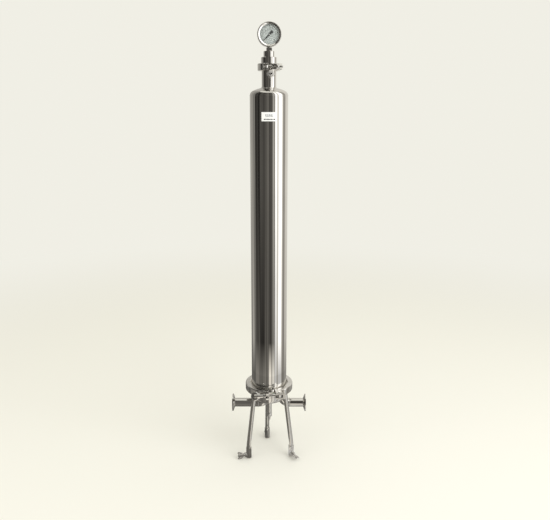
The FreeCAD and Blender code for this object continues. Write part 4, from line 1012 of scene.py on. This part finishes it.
def make_valve_knob(prefix):
    """A fluted knob that turns with its hose nozzle."""
    node = f"{prefix}_knob"
    base = joint_place(f"{prefix}_knob_turn", (0.3, 0.2, 1))
    points = points_in(base, node)
    low, high = min(p.z for p in points), max(p.z for p in points)
    place = base @ Matrix.Translation((0, 0, low))
    tip = high - low
    start = tip - KNOB_AND_NOZZLE
    face = start + KNOB_LENGTH
    water, stem, nozzle = 2 * MM, 3.92 * MM, 2.75 * MM
    knob = max(p.xy.length for p in points) - 0.05 * MM
    body = rounded(
        [
            (water, 0), (stem, 0), (stem, start), (knob - 0.8 * MM, start),
            (knob, start + 0.8 * MM), (knob, start + 1.8 * MM), (knob - 0.6 * MM, start + 2.4 * MM),
            (knob, start + 3.0 * MM), (knob, face - 2.6 * MM), (knob - 2.2 * MM, face),
            (0.62 * knob, face), (0.56 * knob, face - 0.7 * MM), (3.5 * MM, face - 0.7 * MM),
            (nozzle, face + 0.6 * MM),
        ],
        0.5 * MM,
    )
    barbs = []
    for barb in range(3):
        height = face + (2.2 + 2.6 * barb) * MM
        barbs += [(nozzle - 0.45 * MM, height), (nozzle, height + 0.15 * MM)]
    end = [(nozzle - 0.7 * MM, tip), (water, tip)]
    flutes, depth = round(knob / (0.3 * MM)), 0.42 * MM
    low, high = start + 3.4 * MM, face - 3.0 * MM

    def reach(radius, angle, height):
        if radius < knob - 0.1 * MM or not low <= height <= high:
            return radius
        return radius - depth * (0.5 - 0.5 * math.cos(flutes * angle)) ** 0.7

    # rows near the ends of the flutes keep them straight
    tall = [(knob, low), (knob, low + 0.3 * MM), (knob, high - 0.3 * MM), (knob, high)]
    split = next(index for index, point in enumerate(body) if point[1] > face - 2.9 * MM)
    bm = bmesh.new()
    lathe(bm, body[:split] + tall + body[split:] + barbs + end, place, steps=224, reach=reach)
    stand_in(new_object(f"{node}_fluted", bm), node, MACHINED)


# ---------------------------------------- gauge

DIAL_SWEEP, DIAL_ZERO = 270, 225  # degrees
SCALE_RADIUS, INNER_SCALE_RADIUS = 22.4 * MM, 12.6 * MM
DIAL_SCREW_RADIUS, DIAL_SCREW_ANGLES = 17.5 * MM, (-58, -122)  # degrees
PRINT_THICKNESS = 0.04 * MM


def gauge_place():
    joint = JOINTS["pointer_turn"]
    out = -Vector(joint["axis"])
    right = UP.cross(out)
    return place_at(joint["pos_m"], out, right)


def level_in(place, node, pick):
    return pick(point.z for point in points_in(place, node))


def make_bezel(place):
    """Rolled bezel: a crimped skirt, a round crest near its edge and a cone down to the glass."""
    back, front = level_in(place, "gauge_bezel", min), level_in(place, "gauge_bezel", max)
    outer, bore, opening, glass = 31.5 * MM, 29.68 * MM, 25.0 * MM, 3.0 * MM
    outline = [
        (bore, back), (outer - 0.3 * MM, back), (outer - 0.3 * MM, back + 1.6 * MM),
        (outer - 0.75 * MM, back + 2.1 * MM), (outer - 0.75 * MM, back + 2.7 * MM),
        (outer, back + 3.3 * MM), (outer, front - 3.6 * MM), (outer - 0.5 * MM, front - 1.6 * MM),
        (outer - 1.7 * MM, front), (outer - 3.0 * MM, front - 0.3 * MM),
        (opening + 0.5 * MM, front - 2.2 * MM), (opening, front - 2.5 * MM),
        (opening, front - glass), (bore, front - glass),
    ]
    bm = bmesh.new()
    lathe(bm, rounded(outline, 1.0 * MM, steps=4), place, steps=128)
    stand_in(new_object("gauge_bezel_rolled", bm), "gauge_bezel", LOOKS["satin_steel"])


def dial_turn(share):
    """The angle of a reading, as a share of the whole scale."""
    return math.radians(DIAL_ZERO - DIAL_SWEEP * share)


def add_tick(bm, place, angle, inner, outer, width, level):
    along = polar(1, angle).xy
    side = Vector((-along.y, along.x)) * width / 2
    near, far = along * inner, along * outer
    corners = [near - side, far - side, far + side, near + side]
    slab(bm, corners, level, level + PRINT_THICKNESS, place)


def add_arc(bm, place, inner, outer, level, steps=90):
    """The printed arc of a scale."""
    angles = [dial_turn(step / steps) for step in range(steps + 1)]
    for first, second in zip(angles, angles[1:]):
        ends = (inner, first), (outer, first), (outer, second), (inner, second)
        corners = [polar(radius, angle).xy for radius, angle in ends]
        slab(bm, corners, level, level + PRINT_THICKNESS, place)


def make_scales(place, level):
    """A main scale of ten steps in fifty parts, and a fine inner scale of eight in forty."""
    bm = bmesh.new()
    for part in range(51):
        whole, numbered = part % 5 == 0, part % 10 == 0
        length = (3.0 if numbered else 2.3 if whole else 1.4) * MM
        width = (0.55 if whole else 0.25) * MM
        angle = dial_turn(part / 50)
        add_tick(bm, place, angle, SCALE_RADIUS - length, SCALE_RADIUS, width, level)
    add_arc(bm, place, SCALE_RADIUS, SCALE_RADIUS + 0.3 * MM, level)
    dress(new_object("dial_scale", bm), "housing", "pointer_black", look=DIAL_INK)

    bm = bmesh.new()
    radius, width = INNER_SCALE_RADIUS, 0.2 * MM
    for part in range(41):
        length = (1.5 if part % 5 == 0 else 0.8) * MM
        add_tick(bm, place, dial_turn(part / 40), radius - length, radius, width, level)
    add_arc(bm, place, radius, radius + width, level)
    dress(new_object("dial_inner_scale", bm), "housing", "pointer_black", look=GREY_INK)


def make_dial_numbers(place, level):
    """Plain numbers from 0 to 10."""
    bm = bmesh.new()
    for number in range(0, 11, 2):
        text = bpy.data.curves.new(f"number_{number}", "FONT")
        text.body = str(number)
        text.size = 4.4 * MM
        text.align_x, text.align_y = "CENTER", "CENTER"
        text.extrude = PRINT_THICKNESS / 2
        text.resolution_u = 4
        holder = bpy.data.objects.new(f"number_{number}", text)
        mesh = bpy.data.meshes.new_from_object(holder)
        at = polar(SCALE_RADIUS - 5.6 * MM, dial_turn(number / 10), level + PRINT_THICKNESS / 2)
        mesh.transform(place @ Matrix.Translation(at))
        add_mesh(bm, mesh)
        bpy.data.objects.remove(holder)
        bpy.data.meshes.remove(mesh)
    dress(new_object("dial_numbers", bm), "housing", "pointer_black", look=DIAL_INK)


def make_dial_screws(place, level):
    """Two slotted heads: each is two half discs beside the slot, over a lower whole one."""
    head, rise, half_slot, steps = 1.25 * MM, 0.45 * MM, 0.16 * MM, 12
    edge = math.asin(half_slot / head)
    core, floor = 0.98 * head, 0.4 * rise
    for index, angle in enumerate(DIAL_SCREW_ANGLES):
        at = polar(DIAL_SCREW_RADIUS, math.radians(angle), level)
        spot = place @ Matrix.Translation(at) @ Matrix.Rotation(index + 0.4, 4, "Z")
        bm = bmesh.new()
        for side in (-1, 1):
            outline = []
            for step in range(steps + 1):
                turn = edge + (math.pi - 2 * edge) * step / steps
                outline.append((head * math.cos(turn), side * head * math.sin(turn)))
            slab(bm, outline, 0, rise, spot)
        lathe(bm, [(0, 0), (core, 0), (core, floor), (0, floor)], spot, steps=24)
        dress(new_object(f"dial_screw_{index}", bm), "housing", "satin_steel")


def make_pointer(place):
    """A tapered blade with a broad counterweight, and a polished boss on its shaft."""
    low = level_in(place, "gauge_pointer", min)
    turned = place @ Matrix.Rotation(math.radians(DIAL_ZERO), 4, "Z")
    thickness = 0.6 * MM
    reach, root, tip = 21.5 * MM, 2.0 * MM, 0.6 * MM
    blade = [(0, -root), (reach - 1 * MM, -tip), (reach, 0), (reach - 1 * MM, tip), (0, root)]
    weight = [(-2.5 * MM, 1.4 * MM), (-4.2 * MM, 3.1 * MM), (-10.4 * MM, 3.8 * MM)]
    weight += [(-11.6 * MM, 2.0 * MM), (-11.9 * MM, 0)]
    outline = blade + weight + [(x, -y) for x, y in reversed(weight[:-1])]
    top = low + 1.5 * MM
    hub = [
        (0, low), (2.6 * MM, low), (2.6 * MM, low + 0.8 * MM), (1.9 * MM, top - 0.1 * MM), (0, top),
    ]
    bm = bmesh.new()
    slab(bm, outline, low, low + thickness, turned)
    lathe(bm, rounded(hub, 0.3 * MM, closed=False), turned, steps=40)
    stand_in(new_object("gauge_pointer_blade", bm), "gauge_pointer")

    boss = [
        (0, top - 0.3 * MM), (1.2 * MM, top - 0.3 * MM), (1.0 * MM, top + 0.15 * MM),
        (0, top + 0.25 * MM),
    ]
    bm = bmesh.new()
    lathe(bm, rounded(boss, 0.15 * MM, closed=False), turned, steps=32)
    dress(new_object("gauge_pointer_boss", bm), "pointer", "satin_steel")


def make_gauge():
    place = gauge_place()
    level = level_in(place, "gauge_dial", max)
    make_bezel(place)
    make_scales(place, level)
    make_dial_numbers(place, level)
    make_dial_screws(place, level)
    make_pointer(place)


# ---------------------------------------- label and cartridge


def make_label_print():
    """Bars in place of words: two grey rows above and one dark row below."""
    low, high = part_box("name_label")
    radius = max(vertex.co.xy.length for vertex in frame["nodes"]["name_label"].data.vertices)
    outer = radius + PRINT_THICKNESS
    middle = math.atan2((low.x + high.x) / 2, radius) - math.pi / 2
    gap, steps = 0.9, 6
    # name, height as a share of the label's, and the bars' height, start and lengths in mm
    rows = (
        ("pale", 0.62, 2.8, -10.5, (4.1, 3.0, 5.2, 4.4), GREY_INK),
        ("fine", 0.47, 1.7, -9.5, (3.2, 4.6, 2.4, 3.8, 2.6), GREY_INK),
        ("dark", 0.15, 2.7, -14.0, (4.5, 2.2, 5.1, 3.3, 4.0, 1.9, 3.4), INK),
    )
    for name, height, tall, start, lengths, look in rows:
        bm = bmesh.new()
        x = start * MM
        bottom = low.z + (high.z - low.z) * height
        top = bottom + tall * MM
        section = (radius, bottom), (radius, top), (outer, top), (outer, bottom)
        for length in lengths:
            rings = []
            for step in range(steps + 1):
                angle = middle + (x + length * MM * step / steps) / radius
                rings.append([bm.verts.new(polar(out, angle, z)) for out, z in section])
            join_rings(bm, rings, closed=False)
            bm.faces.new(rings[0])
            bm.faces.new(rings[-1])
            x += (length + gap) * MM
        dress(new_object(f"label_print_{name}", bm), "housing", "label_film", look=look)


def make_pleats():
    """The real pleated pack in place of the plain ring that collides."""
    low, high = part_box("cartridge_pleats")
    outer, inner = high.x - 0.15 * MM, 16.9 * MM
    pleats, half_sheet = 72, 0.16 * MM
    bm = bmesh.new()
    columns = []
    for fold in range(2 * pleats):
        angle = math.pi * fold / pleats
        radius = outer if fold % 2 == 0 else inner
        for nudge in (-1, 1):
            # each fold is a narrow round turn of the sheet
            turn = angle + nudge * 1.1 * half_sheet / radius
            out = polar(1, turn)
            columns.append((out * (radius - half_sheet), out * (radius + half_sheet)))
    rings = [
        [[bm.verts.new((*point.xy, z)) for point in column] for column in columns]
        for z in (low.z, high.z)
    ]
    bottom, top = rings
    for index in range(len(columns)):
        before = index - 1
        for side in (0, 1):
            bm.faces.new((bottom[before][side], bottom[index][side],
                          top[index][side], top[before][side]))
        for ring in rings:
            bm.faces.new((ring[before][0], ring[index][0], ring[index][1], ring[before][1]))
    stand_in(new_object("cartridge_media", bm), "cartridge_pleats")


# ---------------------------------------- the whole scene

bpy.context.scene.view_settings.view_transform = "Standard"
make_camera()
make_world()
make_floor()
make_tent()
make_lights()
dress_nodes()
make_pipe_welds()
make_leg_welds()
make_seams()
make_neck_flare()
make_castings()
make_bolts_and_nuts()
make_valve_knob("vent")
make_valve_knob("drain")
make_gauge()
make_label_print()
make_pleats()
